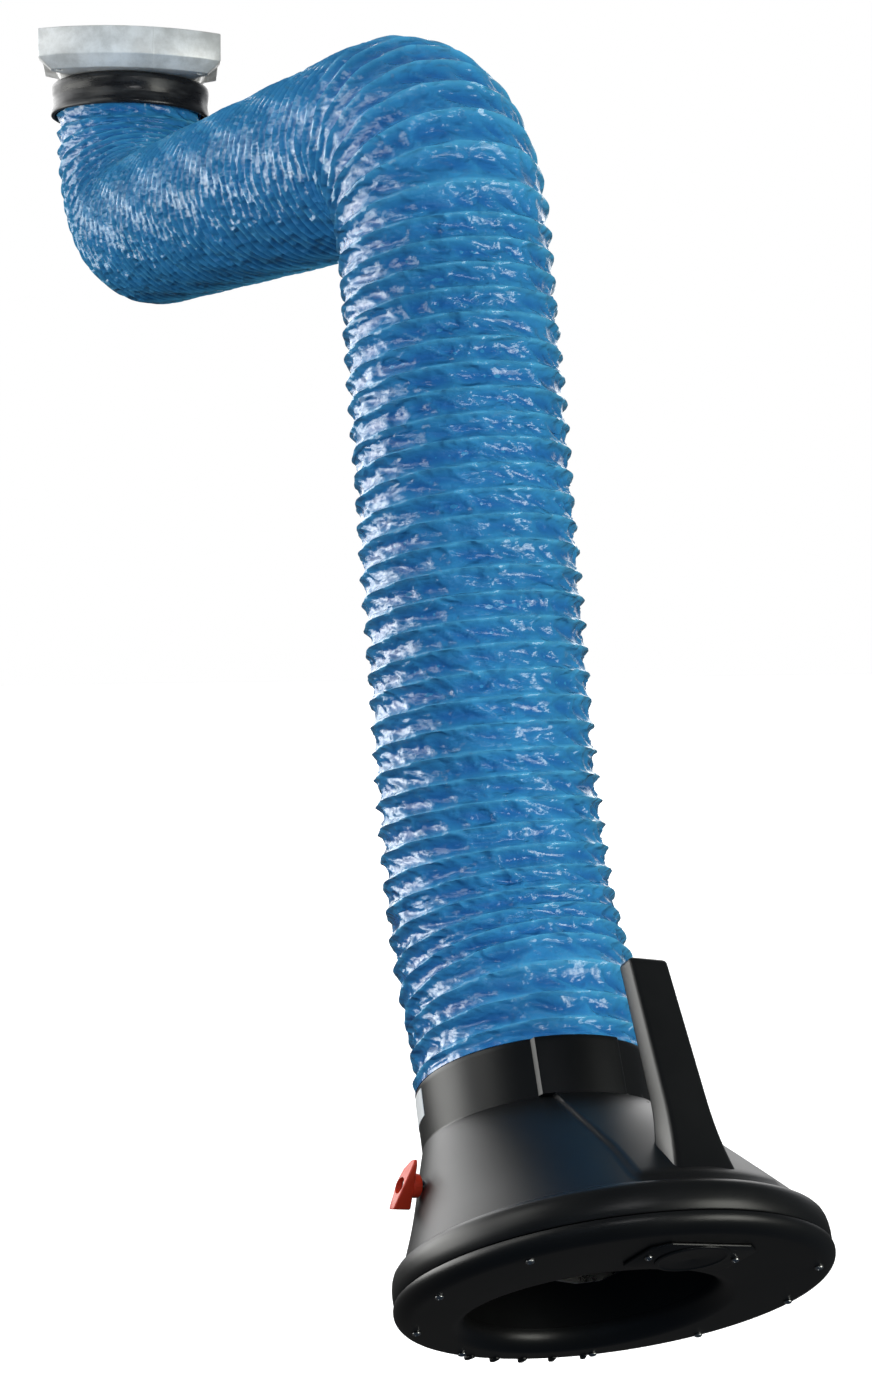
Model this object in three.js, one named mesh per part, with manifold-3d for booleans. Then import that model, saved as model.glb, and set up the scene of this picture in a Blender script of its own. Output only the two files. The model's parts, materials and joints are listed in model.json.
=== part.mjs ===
// A fume extraction arm: a ribbed hose hung on a jointed inner arm, from a cast duct flange to a bell hood.
// Millimetres, +Z up. The origin is on the swivel axis, in the flange's top face. The arm lies in XZ.
import * as THREE from "three";
import { mergeVertices } from "three/addons/utils/BufferGeometryUtils.js";
import Module from "manifold-3d";

const wasm = await Module();
wasm.setup();

// Clearances
const SEAT_GAP = 0.3;
const SWIVEL_GAP = 0.7;
const PIN_GAP = 0.3;

// Sides of turned shapes
const LARGE_SIDES = 32;
const RING_SIDES = 24;
const TURNED_SIDES = 16;
const PIN_SIDES = 12;
const SCREW_SIDES = 8;

// Duct flange
const FLANGE_WIDTH = 200;
const FLANGE_DEPTH = 230;
const FLANGE_ARC_R = 212;
const FLANGE_RIM = 30;
const FLANGE_TAPER = 12;
const FLANGE_TAPER_INSET = 14;
const FLANGE_TURN_DEG = -15.25;
const BOLT_HOLE_R = 4.5;
const BOLT_HOLE_X = 78;
const BOLT_HOLE_Y = 78;
const COUNTERBORE_DEPTH = 12;
const COUNTERBORE_R = 90;
const BEARING_THICKNESS = 2.4;

// Hose
const HOSE_CREST_R = 84;
const HOSE_VALLEY_R = 80;
const HOSE_BORE_R = 78;
const HOSE_SIDES = 14;
const HOSE_PITCH = 19;
const HOSE_RUN_IN = 3;
const HOSE_BORE_RING_EVERY = 5;
const HOSE_TOP_Z = -48.3;
const SHOULDER_CORNER_DROP = 21.3;
const SHOULDER_BEND_R = 128;
const ELBOW_CORNER_OUT = 4.5;
const ELBOW_CORNER_RISE = 4.2;
const ELBOW_BEND_R = 119.7;
const LOWER_RUN_LEAN_DEG = 2.82;
const HOOD_BEND_RUN = 181.3;
const HOOD_BEND_REACH = 65;
const SHOULDER_HOSE_END = 140;
const ELBOW_HOSE_REACH = 260;
const HOOD_HOSE_START = 385;
const HOOD_HOSE_SPLIT = 90;

// Swivel collar, cuff and yoke
const SPIGOT_WALL = 3;
const SPIGOT_END_Z = -90;
const COLLAR_THICKNESS = 6;
const CUFF_WALL = 5;
const CUFF_LIP = 5.7;
const CUFF_END_Z = -77;
const YOKE_BAR_TOP_Z = -50;
const YOKE_BAR_THICKNESS = 11.7;
const YOKE_BAR_WIDTH = 36;
const LUG_DEPTH = 18;
const LUG_THICKNESS = 10;
const YOKE_SCREW_R = 3.5;

// Arm pivots in the XZ plane
const SHOULDER_X = 20;
const SHOULDER_Z = -190;
const ELBOW_X = 912;
const ELBOW_Z = -268;
const HOOD_X = 1096.4;
const HOOD_Z = -931.3;

// Arm tubes and their joints
const TUBE_R = 16;
const TUBE_WALL = 3;
const TUBE_SETBACK = 55;
const PLUG_LENGTH = 40;
const CHEEK_GAP = 32;
const CHEEK_THICKNESS = 6;
const CHEEK_R = 24;
const KNUCKLE_WIDTH = 24;
const KNUCKLE_R = 22;
const KNUCKLE_NECK = 22;
const PIN_R = 8;
const PIN_HEAD_R = 12;
const PIN_HEAD_HEIGHT = 6;
const NUT_R = 14;
const NUT_HEIGHT = 10;
const FRICTION_DISC_R = 20;

// Balance spring
const SPRING_COIL_R = 11;
const SPRING_WIRE_R = 1.5;
const SPRING_CURLS = 10;
const SPRING_ANCHOR_RISE = 40;
const SPRING_ANCHOR_R = 4;
const SPRING_CLIP_X = 330;
const SPRING_CLIP_RISE = 30;
const SPRING_CLIP_LENGTH = 14;
const SPRING_CLIP_WALL = 4;
const SPRING_LUG_WIDTH = 10;

// Hood joint
const HOOD_PITCH_DEG = 32.5;
const HOOD_SWAY_DEG = -4.9;
const HOOD_TURN_DEG = 7.7;
const HOOD_FORK_GAP = 36;
const HOOD_FORK_THICKNESS = 5;
const HOOD_FORK_R = 12;
const HOOD_FORK_SETBACK = 70;
const CROSS_SIZE = 28;
const CROSS_HEIGHT = 22;
const CROSS_PIN_R = 5;
const CROSS_PIN_HEAD_R = 8;
const CROSS_PIN_HEAD_HEIGHT = 4;
const CROSS_WASHER_R = 12;
const SPIDER_CHEEK_R = 10;
const SPIDER_TOP_Z = -28;
const SPIDER_THICKNESS = 10;
const SPIDER_ARM_WIDTH = 14;

// Hood, in its own frame: origin at the hood joint, +Z up the neck, +X towards the handle
const HOOD_SIDES = 24;
const HOOD_WALL = 3;
const NECK_TOP_Z = -5;
const NECK_SEAT_Z = -45;
const NECK_R = 82;
const NECK_HEIGHT = 20;
const BELL_HEIGHT = 117;
const BELL_OFFSET = 52;
const BELL_FLARE = 1.3;
const BELL_DRIFT = 1.2;
const RIM_R = 146;
const RIM_STEP = 8;
const RIM_HEIGHT = 22;
const RIM_LIP = 20;
const RIM_LIP_SHIFT = 4;
const FACE_DEPTH = 12.5;
const FACE_EDGE = 8;
const MOUTH_R = 83.5;
const MOUTH_MARGIN = 33;
const MOUTH_ROLL = 12;
const FACE_SCREW_INSET = 12;
const FACE_SCREW_ANGLES_DEG = [54, 88, 124, 157];
const FACE_SCREW_R = 2;
const SCREW_HEAD_R = 4;
const SCREW_HEAD_HEIGHT = 2.2;
const FUNNEL_TOP_Z = -72;
const FUNNEL_TOP_R = 78;
const FUNNEL_WALL = 2.5;
const LAMP_PLATE_LENGTH = 48;
const LAMP_PLATE_WIDTH = 78;
const LAMP_PLATE_THICKNESS = 1.5;
const LAMP_PLATE_MARGIN = 17;
const LAMP_DISC_R = 24;
const LAMP_DISC_THICKNESS = 1;
const LAMP_SCREW_SPREAD = 32;
const CLIP_COVER_HALF_DEG = 30;
const CLIP_COVER_THICKNESS = 4.2;
const CLIP_COVER_HEIGHT = 19;
const HANDLE_INSET = 37;
const HANDLE_LEAN = 7.5;
const HANDLE_TOP_Z = -17.4;
const HANDLE_BASE_Z = -168;
const HANDLE_FOOT = 22;
const HANDLE_TOP_WIDTH = 30;
const HANDLE_TOP_DEPTH = 26;
const HANDLE_GRIP_WIDTH = 35;
const HANDLE_GRIP_DEPTH = 30;
const HANDLE_BASE_WIDTH = 42;
const HANDLE_BASE_DEPTH = 36;
const HANDLE_FOOT_WIDTH = 52;
const HANDLE_FOOT_DEPTH = 44;
const HANDLE_EDGE = 4;
const GUSSET_WIDTH = 16;
const GUSSET_RISE = 75;
const GUSSET_REACH = 45;
const GUSSET_SHOULDER = 45;
const GUSSET_FOOT = 60;

// Damper
const SHAFT_R = 4;
const SHAFT_X = 4;
const SHAFT_BELOW_SEAT = 81;
const BLADE_LONG_R = 72;
const BLADE_SHORT_R = 66;
const BLADE_THICKNESS = 2.5;
const KNOB_CLEARANCE = 1;
const KNOB_STANDOFF = 6;
const KNOB_FOOT_LENGTH = 13;
const KNOB_TOP_LENGTH = 2.2;
const KNOB_TURN_DEG = 18.7;
const KNOB_OUTLINE = [
  [-5, -15.8], [2.5, -15.8], [7.2, 0], [11, 13], [10.5, 16.9], [5, 16.5], [-2.5, 11], [-6.6, 2],
];
const KNOB_HUB_R = 8;

const rad = THREE.MathUtils.degToRad;
const arm = new THREE.Group();

// Finishes
function finish(color, roughness, metalness) {
  return () => new THREE.MeshStandardMaterial({ color, roughness, metalness });
}

const castAluminium = finish(0xb4b6b4, 0.45, 0.9);
const armAluminium = finish(0xa9adb0, 0.35, 0.9);
const zincSteel = finish(0x9a9c9e, 0.35, 1.0);
const blackRubber = finish(0x17181a, 0.55, 0.0);
const blackPlastic = finish(0x16161a, 0.4, 0.0);
const whiteNylon = finish(0xd9d8d0, 0.5, 0.0);
const frictionLining = finish(0x4a3b2e, 0.8, 0.0);
const bluePvc = finish(0x1763a6, 0.3, 0.0);
const redPlastic = finish(0xc2321c, 0.45, 0.0);

// Adds one named piece to a group.
function piece(name, geometry, material, parent) {
  const mesh = new THREE.Mesh(geometry, material());
  mesh.name = name;
  parent.add(mesh);
  return mesh;
}

function group(parent) {
  const made = new THREE.Group();
  parent.add(made);
  return made;
}

// Solids for joins and cuts
function solid(geometry) {
  const bare = geometry.clone();
  bare.deleteAttribute("normal");
  bare.deleteAttribute("uv");
  const merged = mergeVertices(bare, 1e-4);
  const vertProperties = merged.attributes.position.array;
  const triVerts = new Uint32Array(merged.index.array);
  return new wasm.Manifold(new wasm.Mesh({ numProp: 3, vertProperties, triVerts }));
}

function surface(manifold) {
  const mesh = manifold.getMesh();
  const geometry = new THREE.BufferGeometry();
  geometry.setAttribute("position", new THREE.BufferAttribute(new Float32Array(mesh.vertProperties), 3));
  geometry.setIndex(new THREE.BufferAttribute(new Uint32Array(mesh.triVerts), 1));
  geometry.computeVertexNormals();
  return geometry;
}

const join = (...parts) => surface(parts.map(solid).reduce((a, b) => a.add(b)));
const cut = (body, ...tools) => surface(tools.map(solid).reduce((a, b) => a.subtract(b), solid(body)));
const common = (a, b) => surface(solid(a).intersect(solid(b)));

// Plain shapes between two stations on an axis
function rod(axis, radius, from, to, sides = PIN_SIDES) {
  const geometry = new THREE.CylinderGeometry(radius, radius, to - from, sides);
  geometry.translate(0, (from + to) / 2, 0);
  if (axis === "x") geometry.rotateZ(-Math.PI / 2);
  if (axis === "z") geometry.rotateX(Math.PI / 2);
  return geometry;
}

function block(x0, x1, y0, y1, z0, z1) {
  const geometry = new THREE.BoxGeometry(x1 - x0, y1 - y0, z1 - z0);
  return geometry.translate((x0 + x1) / 2, (y0 + y1) / 2, (z0 + z1) / 2);
}

// A closed profile of radius and height, turned about the Z axis.
function turned(profile, sides) {
  const points = profile.map(([r, z]) => new THREE.Vector2(r, z));
  return new THREE.LatheGeometry(points, sides).rotateX(Math.PI / 2);
}

// A washer: profile turned about an axis.
function ring(axis, inner, outer, from, to, sides = TURNED_SIDES) {
  const corners = [[inner, from], [outer, from], [outer, to], [inner, to], [inner, from]];
  const geometry = new THREE.LatheGeometry(corners.map(([r, h]) => new THREE.Vector2(r, h)), sides);
  if (axis === "x") geometry.rotateZ(-Math.PI / 2);
  if (axis === "z") geometry.rotateX(Math.PI / 2);
  return geometry;
}

// A flat outline in the XZ plane, thickened along Y.
function sidePlate(shape, y0, y1, curveSegments = 8) {
  const geometry = new THREE.ExtrudeGeometry(shape, { depth: y1 - y0, bevelEnabled: false, curveSegments });
  return geometry.rotateX(Math.PI / 2).translate(0, y1, 0);
}

// A skin over rings of equal point counts. It closes on itself, or ends in flat caps.
function indexed(points, index) {
  const geometry = new THREE.BufferGeometry();
  const positions = points.flatMap((p) => [p.x, p.y, p.z]);
  geometry.setAttribute("position", new THREE.Float32BufferAttribute(positions, 3));
  geometry.setIndex(index);
  geometry.computeVertexNormals();
  return geometry;
}

function loft(rings, closed) {
  const count = rings[0].length;
  const index = [];
  const bands = closed ? rings.length : rings.length - 1;
  for (let i = 0; i < bands; i += 1) {
    const near = i * count;
    const far = ((i + 1) % rings.length) * count;
    for (let k = 0; k < count; k += 1) {
      const next = (k + 1) % count;
      index.push(near + k, near + next, far + k);
      index.push(near + next, far + next, far + k);
    }
  }
  if (!closed) {
    const last = (rings.length - 1) * count;
    for (let k = 1; k < count - 1; k += 1) {
      index.push(0, k + 1, k);
      index.push(last, last + k, last + k + 1);
    }
  }
  return indexed(rings.flat(), index);
}

// A level circle round the hood's axis, its centre shifted towards the handle.
function level(shift, radius, z) {
  return Array.from({ length: HOOD_SIDES }, (_, k) => {
    const turn = (2 * Math.PI * k) / HOOD_SIDES;
    return new THREE.Vector3(shift + radius * Math.cos(turn), radius * Math.sin(turn), z);
  });
}

const spigotR = HOSE_BORE_R * Math.cos(Math.PI / HOSE_SIDES) - SEAT_GAP;
const spigotBoreR = spigotR - SPIGOT_WALL;

// Duct flange: a cast plate with two flat sides, two arched sides and a tapered underside
function flangeOutline(inset) {
  const halfWidth = FLANGE_WIDTH / 2 - inset;
  const arcR = FLANGE_ARC_R - inset;
  const centre = FLANGE_DEPTH / 2 - FLANGE_ARC_R;
  const spread = Math.asin(halfWidth / arcR);
  const shape = new THREE.Shape();
  shape.absarc(centre, 0, arcR, -spread, spread, false);
  shape.absarc(-centre, 0, arcR, Math.PI - spread, Math.PI + spread, false);
  return shape;
}

function outlineRing(inset, z) {
  const points = flangeOutline(inset).getPoints(8).slice(0, -1);
  return points.map((p) => new THREE.Vector3(p.x, p.y, z));
}

const flangeBottomZ = -FLANGE_RIM - FLANGE_TAPER;
const flangeBoreR = spigotR + SWIVEL_GAP;

function mountingFlange() {
  const body = loft([
    outlineRing(FLANGE_TAPER_INSET, flangeBottomZ),
    outlineRing(0, -FLANGE_RIM),
    outlineRing(0, 0),
  ], false);
  const bores = [
    rod("z", flangeBoreR, flangeBottomZ - 1, 1, LARGE_SIDES),
    rod("z", COUNTERBORE_R, -COUNTERBORE_DEPTH, 1, LARGE_SIDES),
  ];
  for (const x of [-BOLT_HOLE_X, BOLT_HOLE_X]) {
    for (const y of [-BOLT_HOLE_Y, BOLT_HOLE_Y]) {
      bores.push(rod("z", BOLT_HOLE_R, flangeBottomZ - 1, 1).translate(x, y, 0));
    }
  }
  return cut(body, ...bores);
}

const bearingFloorZ = -COUNTERBORE_DEPTH + SEAT_GAP;
const flange = group(arm);
flange.rotation.z = rad(FLANGE_TURN_DEG);
piece("mounting_flange", mountingFlange(), castAluminium, flange);
piece("bearing_ring", ring("z", flangeBoreR + SWIVEL_GAP, COUNTERBORE_R - 1, bearingFloorZ,
  bearingFloorZ + BEARING_THICKNESS, RING_SIDES), whiteNylon, flange);

// Swivel: the collar that turns in the flange, its rubber cuff, and the yoke hung inside it
const swivel = group(arm);
const collarUnderZ = bearingFloorZ + BEARING_THICKNESS + SEAT_GAP;
const lugTopZ = YOKE_BAR_TOP_Z - YOKE_BAR_THICKNESS - SEAT_GAP;
const lugInnerY = spigotBoreR - LUG_DEPTH;
const yokeScrewY = spigotBoreR - LUG_DEPTH / 2;
const yokeScrewHoleR = YOKE_SCREW_R + PIN_GAP;

function yokeScrewHoles() {
  return [-1, 1].map((side) => rod("z", yokeScrewHoleR, lugTopZ - LUG_THICKNESS - 1, YOKE_BAR_TOP_Z + 1)
    .translate(0, side * yokeScrewY, 0));
}

function swivelCollar() {
  const shoulderR = COUNTERBORE_R - 1.5;
  const profile = [
    [spigotBoreR, SPIGOT_END_Z],
    [spigotR, SPIGOT_END_Z],
    [spigotR, collarUnderZ],
    [shoulderR, collarUnderZ],
    [shoulderR, collarUnderZ + COLLAR_THICKNESS],
    [spigotBoreR, collarUnderZ + COLLAR_THICKNESS],
    [spigotBoreR, SPIGOT_END_Z],
  ];
  const tube = turned(profile, LARGE_SIDES);
  const lugs = [-1, 1].map((side) => {
    const y0 = side < 0 ? -spigotR : lugInnerY;
    const lug = block(-YOKE_BAR_WIDTH / 2, YOKE_BAR_WIDTH / 2, y0, y0 + spigotR - lugInnerY,
      lugTopZ - LUG_THICKNESS, lugTopZ);
    return common(lug, rod("z", spigotR - 1, lugTopZ - LUG_THICKNESS - 1, lugTopZ + 1, LARGE_SIDES));
  });
  return cut(join(tube, ...lugs), ...yokeScrewHoles());
}

function rubberCuff() {
  const lipR = flangeBoreR + SEAT_GAP;
  const skirtR = HOSE_CREST_R + 2 * SWIVEL_GAP;
  const outerR = skirtR + CUFF_WALL;
  const topZ = flangeBottomZ - SEAT_GAP;
  const lipZ = topZ - CUFF_LIP;
  const bulge = CUFF_WALL / 2;
  const profile = [
    [lipR, lipZ],
    [skirtR, lipZ],
    [skirtR, CUFF_END_Z],
    [outerR - bulge, CUFF_END_Z],
    [outerR, CUFF_END_Z + bulge],
    [outerR - 1.5, (topZ + CUFF_END_Z) / 2],
    [outerR, topZ - 2 * bulge],
    [outerR - bulge, topZ],
    [lipR, topZ],
    [lipR, lipZ],
  ];
  return turned(profile, RING_SIDES);
}

function cheekOutline() {
  const shape = new THREE.Shape();
  shape.moveTo(-YOKE_BAR_WIDTH / 2, YOKE_BAR_TOP_Z - 1);
  shape.absarc(SHOULDER_X, SHOULDER_Z, CHEEK_R, rad(190), rad(370), false);
  shape.lineTo(YOKE_BAR_WIDTH / 2, YOKE_BAR_TOP_Z - 1);
  return shape;
}

const cheekInnerY = CHEEK_GAP / 2;
const cheekOuterY = cheekInnerY + CHEEK_THICKNESS;
const pinHoleR = PIN_R + PIN_GAP;

function shoulderYoke() {
  const barBlock = block(-YOKE_BAR_WIDTH / 2, YOKE_BAR_WIDTH / 2, -spigotR, spigotR,
    YOKE_BAR_TOP_Z - YOKE_BAR_THICKNESS, YOKE_BAR_TOP_Z);
  const bar = common(barBlock, rod("z", spigotBoreR - 1, SHOULDER_Z, 0, LARGE_SIDES));
  const cheeks = [
    sidePlate(cheekOutline(), -cheekOuterY, -cheekInnerY),
    sidePlate(cheekOutline(), cheekInnerY, cheekOuterY),
  ];
  const pinHole = rod("y", pinHoleR, -cheekOuterY - 1, cheekOuterY + 1).translate(SHOULDER_X, 0, SHOULDER_Z);
  return cut(join(bar, ...cheeks), pinHole, ...yokeScrewHoles());
}

function yokeScrew() {
  const headZ = YOKE_BAR_TOP_Z + SEAT_GAP;
  return join(
    rod("z", YOKE_SCREW_R, lugTopZ - LUG_THICKNESS, headZ + 1),
    rod("z", 2 * YOKE_SCREW_R - 1, headZ, headZ + YOKE_SCREW_R),
  );
}

piece("swivel_collar", swivelCollar(), castAluminium, swivel);
piece("rubber_cuff", rubberCuff(), blackRubber, swivel);
piece("shoulder_yoke", shoulderYoke(), armAluminium, swivel);
piece("yoke_screw_left", yokeScrew(), zincSteel, swivel).position.y = yokeScrewY;
piece("yoke_screw_right", yokeScrew(), zincSteel, swivel).position.y = -yokeScrewY;

// A friction hinge's pin, nut and discs, on the Y axis of a group
function hingePin() {
  const headY = -cheekOuterY - SEAT_GAP;
  return join(
    rod("y", PIN_R, headY - 1, cheekOuterY + NUT_HEIGHT),
    rod("y", PIN_HEAD_R, headY - PIN_HEAD_HEIGHT, headY),
  );
}

function addFrictionHinge(name, parent) {
  const discInner = KNUCKLE_WIDTH / 2 + SEAT_GAP;
  const discOuter = cheekInnerY - SEAT_GAP;
  const nutY = cheekOuterY + SEAT_GAP;
  const disc = (from, to) => ring("y", pinHoleR, FRICTION_DISC_R, from, to);
  const nutHole = rod("y", pinHoleR, nutY - 1, nutY + NUT_HEIGHT + 1);
  const nut = cut(rod("y", NUT_R, nutY, nutY + NUT_HEIGHT, 6), nutHole);
  piece(`${name}_pin`, hingePin(), zincSteel, parent);
  piece(`${name}_nut`, nut, zincSteel, parent);
  piece(`${name}_friction_disc_left`, disc(discInner, discOuter), frictionLining, parent);
  piece(`${name}_friction_disc_right`, disc(-discOuter, -discInner), frictionLining, parent);
}

const shoulderHinge = group(swivel);
shoulderHinge.position.set(SHOULDER_X, 0, SHOULDER_Z);
addFrictionHinge("shoulder", shoulderHinge);

const springAnchor = new THREE.Vector3(SHOULDER_X, 0, SHOULDER_Z + SPRING_ANCHOR_RISE);
const anchorHalf = cheekInnerY - SEAT_GAP;
piece("spring_anchor_pin", rod("y", SPRING_ANCHOR_R, -anchorHalf, anchorHalf), zincSteel, swivel)
  .position.copy(springAnchor);

// A group whose +X runs from one pivot to the next
function linkGroup(fromX, fromZ, toX, toZ) {
  const made = group(arm);
  made.position.set(fromX, 0, fromZ);
  made.rotation.y = -Math.atan2(toZ - fromZ, toX - fromX);
  return made;
}

const upperLength = Math.hypot(ELBOW_X - SHOULDER_X, ELBOW_Z - SHOULDER_Z);
const lowerLength = Math.hypot(HOOD_X - ELBOW_X, HOOD_Z - ELBOW_Z);
const upperArm = linkGroup(SHOULDER_X, SHOULDER_Z, ELBOW_X, ELBOW_Z);
const lowerArm = linkGroup(ELBOW_X, ELBOW_Z, HOOD_X, HOOD_Z);
const plugR = TUBE_R - TUBE_WALL - SEAT_GAP;

// The end casting that turns on a hinge pin and plugs into a tube
function knuckle() {
  const half = KNUCKLE_WIDTH / 2;
  const neckHalf = KNUCKLE_NECK / 2;
  const body = join(
    rod("y", KNUCKLE_R, -half, half, TURNED_SIDES),
    block(0, TUBE_SETBACK, -neckHalf, neckHalf, -neckHalf, neckHalf),
    rod("x", plugR, TUBE_SETBACK - 1, TUBE_SETBACK + PLUG_LENGTH),
  );
  return cut(body, rod("y", pinHoleR, -half - 1, half + 1));
}

function armTube(from, to) {
  return ring("x", TUBE_R - TUBE_WALL, TUBE_R, from + SEAT_GAP, to - SEAT_GAP);
}

// The end casting whose two cheeks hold a hinge pin
function fork(end, setback, gap, thickness, radius, holeR) {
  const inner = gap / 2;
  const outer = inner + thickness;
  const shape = new THREE.Shape();
  shape.moveTo(end - setback, -radius);
  shape.absarc(end, 0, radius, -Math.PI / 2, Math.PI / 2, false);
  shape.lineTo(end - setback, radius);
  const bridgeEnd = end - setback + CHEEK_R - 4;
  const body = join(
    sidePlate(shape, -outer, -inner),
    sidePlate(shape, inner, outer),
    block(end - setback, bridgeEnd, -outer, outer, -radius, radius),
    rod("x", plugR, end - setback - PLUG_LENGTH, end - setback + 1),
  );
  return cut(body, rod("y", holeR, -outer - 1, outer + 1).translate(end, 0, 0));
}

piece("shoulder_knuckle", knuckle(), armAluminium, upperArm);
piece("upper_arm_tube", armTube(TUBE_SETBACK, upperLength - TUBE_SETBACK), armAluminium, upperArm);
piece("elbow_fork", fork(upperLength, TUBE_SETBACK, CHEEK_GAP, CHEEK_THICKNESS, TUBE_R, pinHoleR),
  armAluminium, upperArm);
const elbowHinge = group(upperArm);
elbowHinge.position.x = upperLength;
addFrictionHinge("elbow", elbowHinge);

piece("elbow_knuckle", knuckle(), armAluminium, lowerArm);
piece("lower_arm_tube", armTube(TUBE_SETBACK, lowerLength - HOOD_FORK_SETBACK), armAluminium, lowerArm);
piece("hood_fork", fork(lowerLength, HOOD_FORK_SETBACK, HOOD_FORK_GAP, HOOD_FORK_THICKNESS, HOOD_FORK_R,
  CROSS_PIN_R + PIN_GAP), armAluminium, lowerArm);

// Balance spring, stretched from the yoke to a clip on the upper tube
function springClip() {
  const half = SPRING_CLIP_LENGTH / 2;
  const collar = rod("x", TUBE_R + SEAT_GAP + SPRING_CLIP_WALL, -half, half, TURNED_SIDES);
  const lugHalf = SPRING_LUG_WIDTH / 2;
  const lug = block(-half, half, -lugHalf, lugHalf, TUBE_R, SPRING_CLIP_RISE + SPRING_ANCHOR_R);
  return cut(join(collar, lug), rod("x", TUBE_R + SEAT_GAP, -half - 1, half + 1, TURNED_SIDES));
}

class Coil extends THREE.Curve {
  constructor(from, to) {
    super();
    this.from = from;
    this.axis = to.clone().sub(from);
    this.across = new THREE.Vector3(0, 1, 0);
    this.rise = this.axis.clone().normalize().cross(this.across);
  }

  getPoint(t, target = new THREE.Vector3()) {
    const turn = 2 * Math.PI * SPRING_CURLS * t;
    return target.copy(this.from).addScaledVector(this.axis, t)
      .addScaledVector(this.across, SPRING_COIL_R * Math.cos(turn))
      .addScaledVector(this.rise, SPRING_COIL_R * Math.sin(turn));
  }
}

function balanceSpring(from, to) {
  const coil = new Coil(from, to);
  const steps = 8 * SPRING_CURLS;
  const points = coil.getPoints(steps);
  let leastGap = Infinity;
  for (let i = 0; i + 5 < points.length; i += 1) {
    for (let j = i + 5; j < points.length; j += 1) {
      leastGap = Math.min(leastGap, points[i].distanceTo(points[j]) - 2 * SPRING_WIRE_R);
    }
  }
  console.log(`balance spring: least gap between its turns ${leastGap.toFixed(2)} mm`);
  const rings = points.map((point, i) => {
    const tangent = coil.getTangent(i / steps);
    const outward = coil.axis.clone().cross(tangent).normalize();
    const side = tangent.clone().cross(outward);
    return Array.from({ length: 5 }, (_, k) => {
      const turn = (2 * Math.PI * k) / 5;
      return point.clone().addScaledVector(outward, SPRING_WIRE_R * Math.cos(turn))
        .addScaledVector(side, SPRING_WIRE_R * Math.sin(turn));
    });
  });
  return loft(rings, false);
}

const clip = piece("spring_anchor_clip", springClip(), zincSteel, upperArm);
clip.position.x = SPRING_CLIP_X;
upperArm.updateMatrixWorld(true);
const clipFace = new THREE.Vector3(SPRING_CLIP_X - SPRING_CLIP_LENGTH / 2, 0, SPRING_CLIP_RISE)
  .applyMatrix4(upperArm.matrixWorld);
const pull = clipFace.clone().sub(springAnchor).normalize();
const springStart = springAnchor.clone().addScaledVector(pull, SPRING_ANCHOR_R + SPRING_WIRE_R + SEAT_GAP);
const springEnd = clipFace.clone().addScaledVector(pull, -SPRING_WIRE_R - SEAT_GAP);
piece("balance_spring", balanceSpring(springStart, springEnd), zincSteel, arm);

// Hood joint: a cross block between the arm's fork and the hood's spider
const hoodJoint = group(arm);
hoodJoint.position.set(HOOD_X, 0, HOOD_Z);
hoodJoint.rotation.y = -rad(HOOD_PITCH_DEG);
const hoodSway = group(hoodJoint);
hoodSway.rotation.x = rad(HOOD_SWAY_DEG);
const hood = group(hoodSway);
hood.rotation.z = rad(HOOD_TURN_DEG);

const crossHalf = CROSS_SIZE / 2;
const crossHoleR = CROSS_PIN_R + PIN_GAP;
const forkOuterY = HOOD_FORK_GAP / 2 + HOOD_FORK_THICKNESS;

function hoodCross() {
  const halfX = HOOD_FORK_GAP / 2 - SEAT_GAP;
  const body = block(-halfX, halfX, -crossHalf, crossHalf, -CROSS_HEIGHT / 2, CROSS_HEIGHT / 2);
  const reach = halfX + 1;
  return cut(body, rod("y", crossHoleR, -reach, reach), rod("x", crossHoleR, -reach, reach));
}

function pitchPin() {
  const headY = -forkOuterY - SEAT_GAP;
  return join(
    rod("y", CROSS_PIN_R, headY - 1, forkOuterY + 2 * CROSS_PIN_HEAD_HEIGHT),
    rod("y", CROSS_PIN_HEAD_R, headY - CROSS_PIN_HEAD_HEIGHT, headY),
  );
}

function swayPin() {
  const headX = forkOuterY + SEAT_GAP;
  return join(
    rod("x", CROSS_PIN_R, crossHoleR + SEAT_GAP, headX + 1),
    rod("x", CROSS_PIN_HEAD_R, headX, headX + CROSS_PIN_HEAD_HEIGHT),
  );
}

function hoodSpider() {
  const inner = HOOD_FORK_GAP / 2;
  const bottomZ = SPIDER_TOP_Z - SPIDER_THICKNESS;
  const cheek = (side) => {
    const x0 = side < 0 ? -forkOuterY : inner;
    const x1 = x0 + HOOD_FORK_THICKNESS;
    return join(
      rod("x", SPIDER_CHEEK_R, x0, x1),
      block(x0, x1, -SPIDER_CHEEK_R + 1, SPIDER_CHEEK_R - 1, bottomZ, 0),
    );
  };
  const neckFlatR = spigotBoreR * Math.cos(Math.PI / HOOD_SIDES) - SEAT_GAP;
  const spokeHalf = SPIDER_ARM_WIDTH / 2;
  const spokeReach = Math.sqrt(neckFlatR ** 2 - spokeHalf ** 2);
  const spoke = (turn) => block(0, spokeReach, -spokeHalf, spokeHalf, bottomZ, SPIDER_TOP_Z).rotateZ(turn);
  const spokes = [45, 135, 225, 315].map((turn) => spoke(rad(turn)));
  const hub = rod("z", forkOuterY, bottomZ, SPIDER_TOP_Z, TURNED_SIDES);
  const body = join(hub, cheek(-1), cheek(1), ...spokes);
  return cut(body, rod("x", crossHoleR, -forkOuterY - 1, forkOuterY + 1));
}

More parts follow.
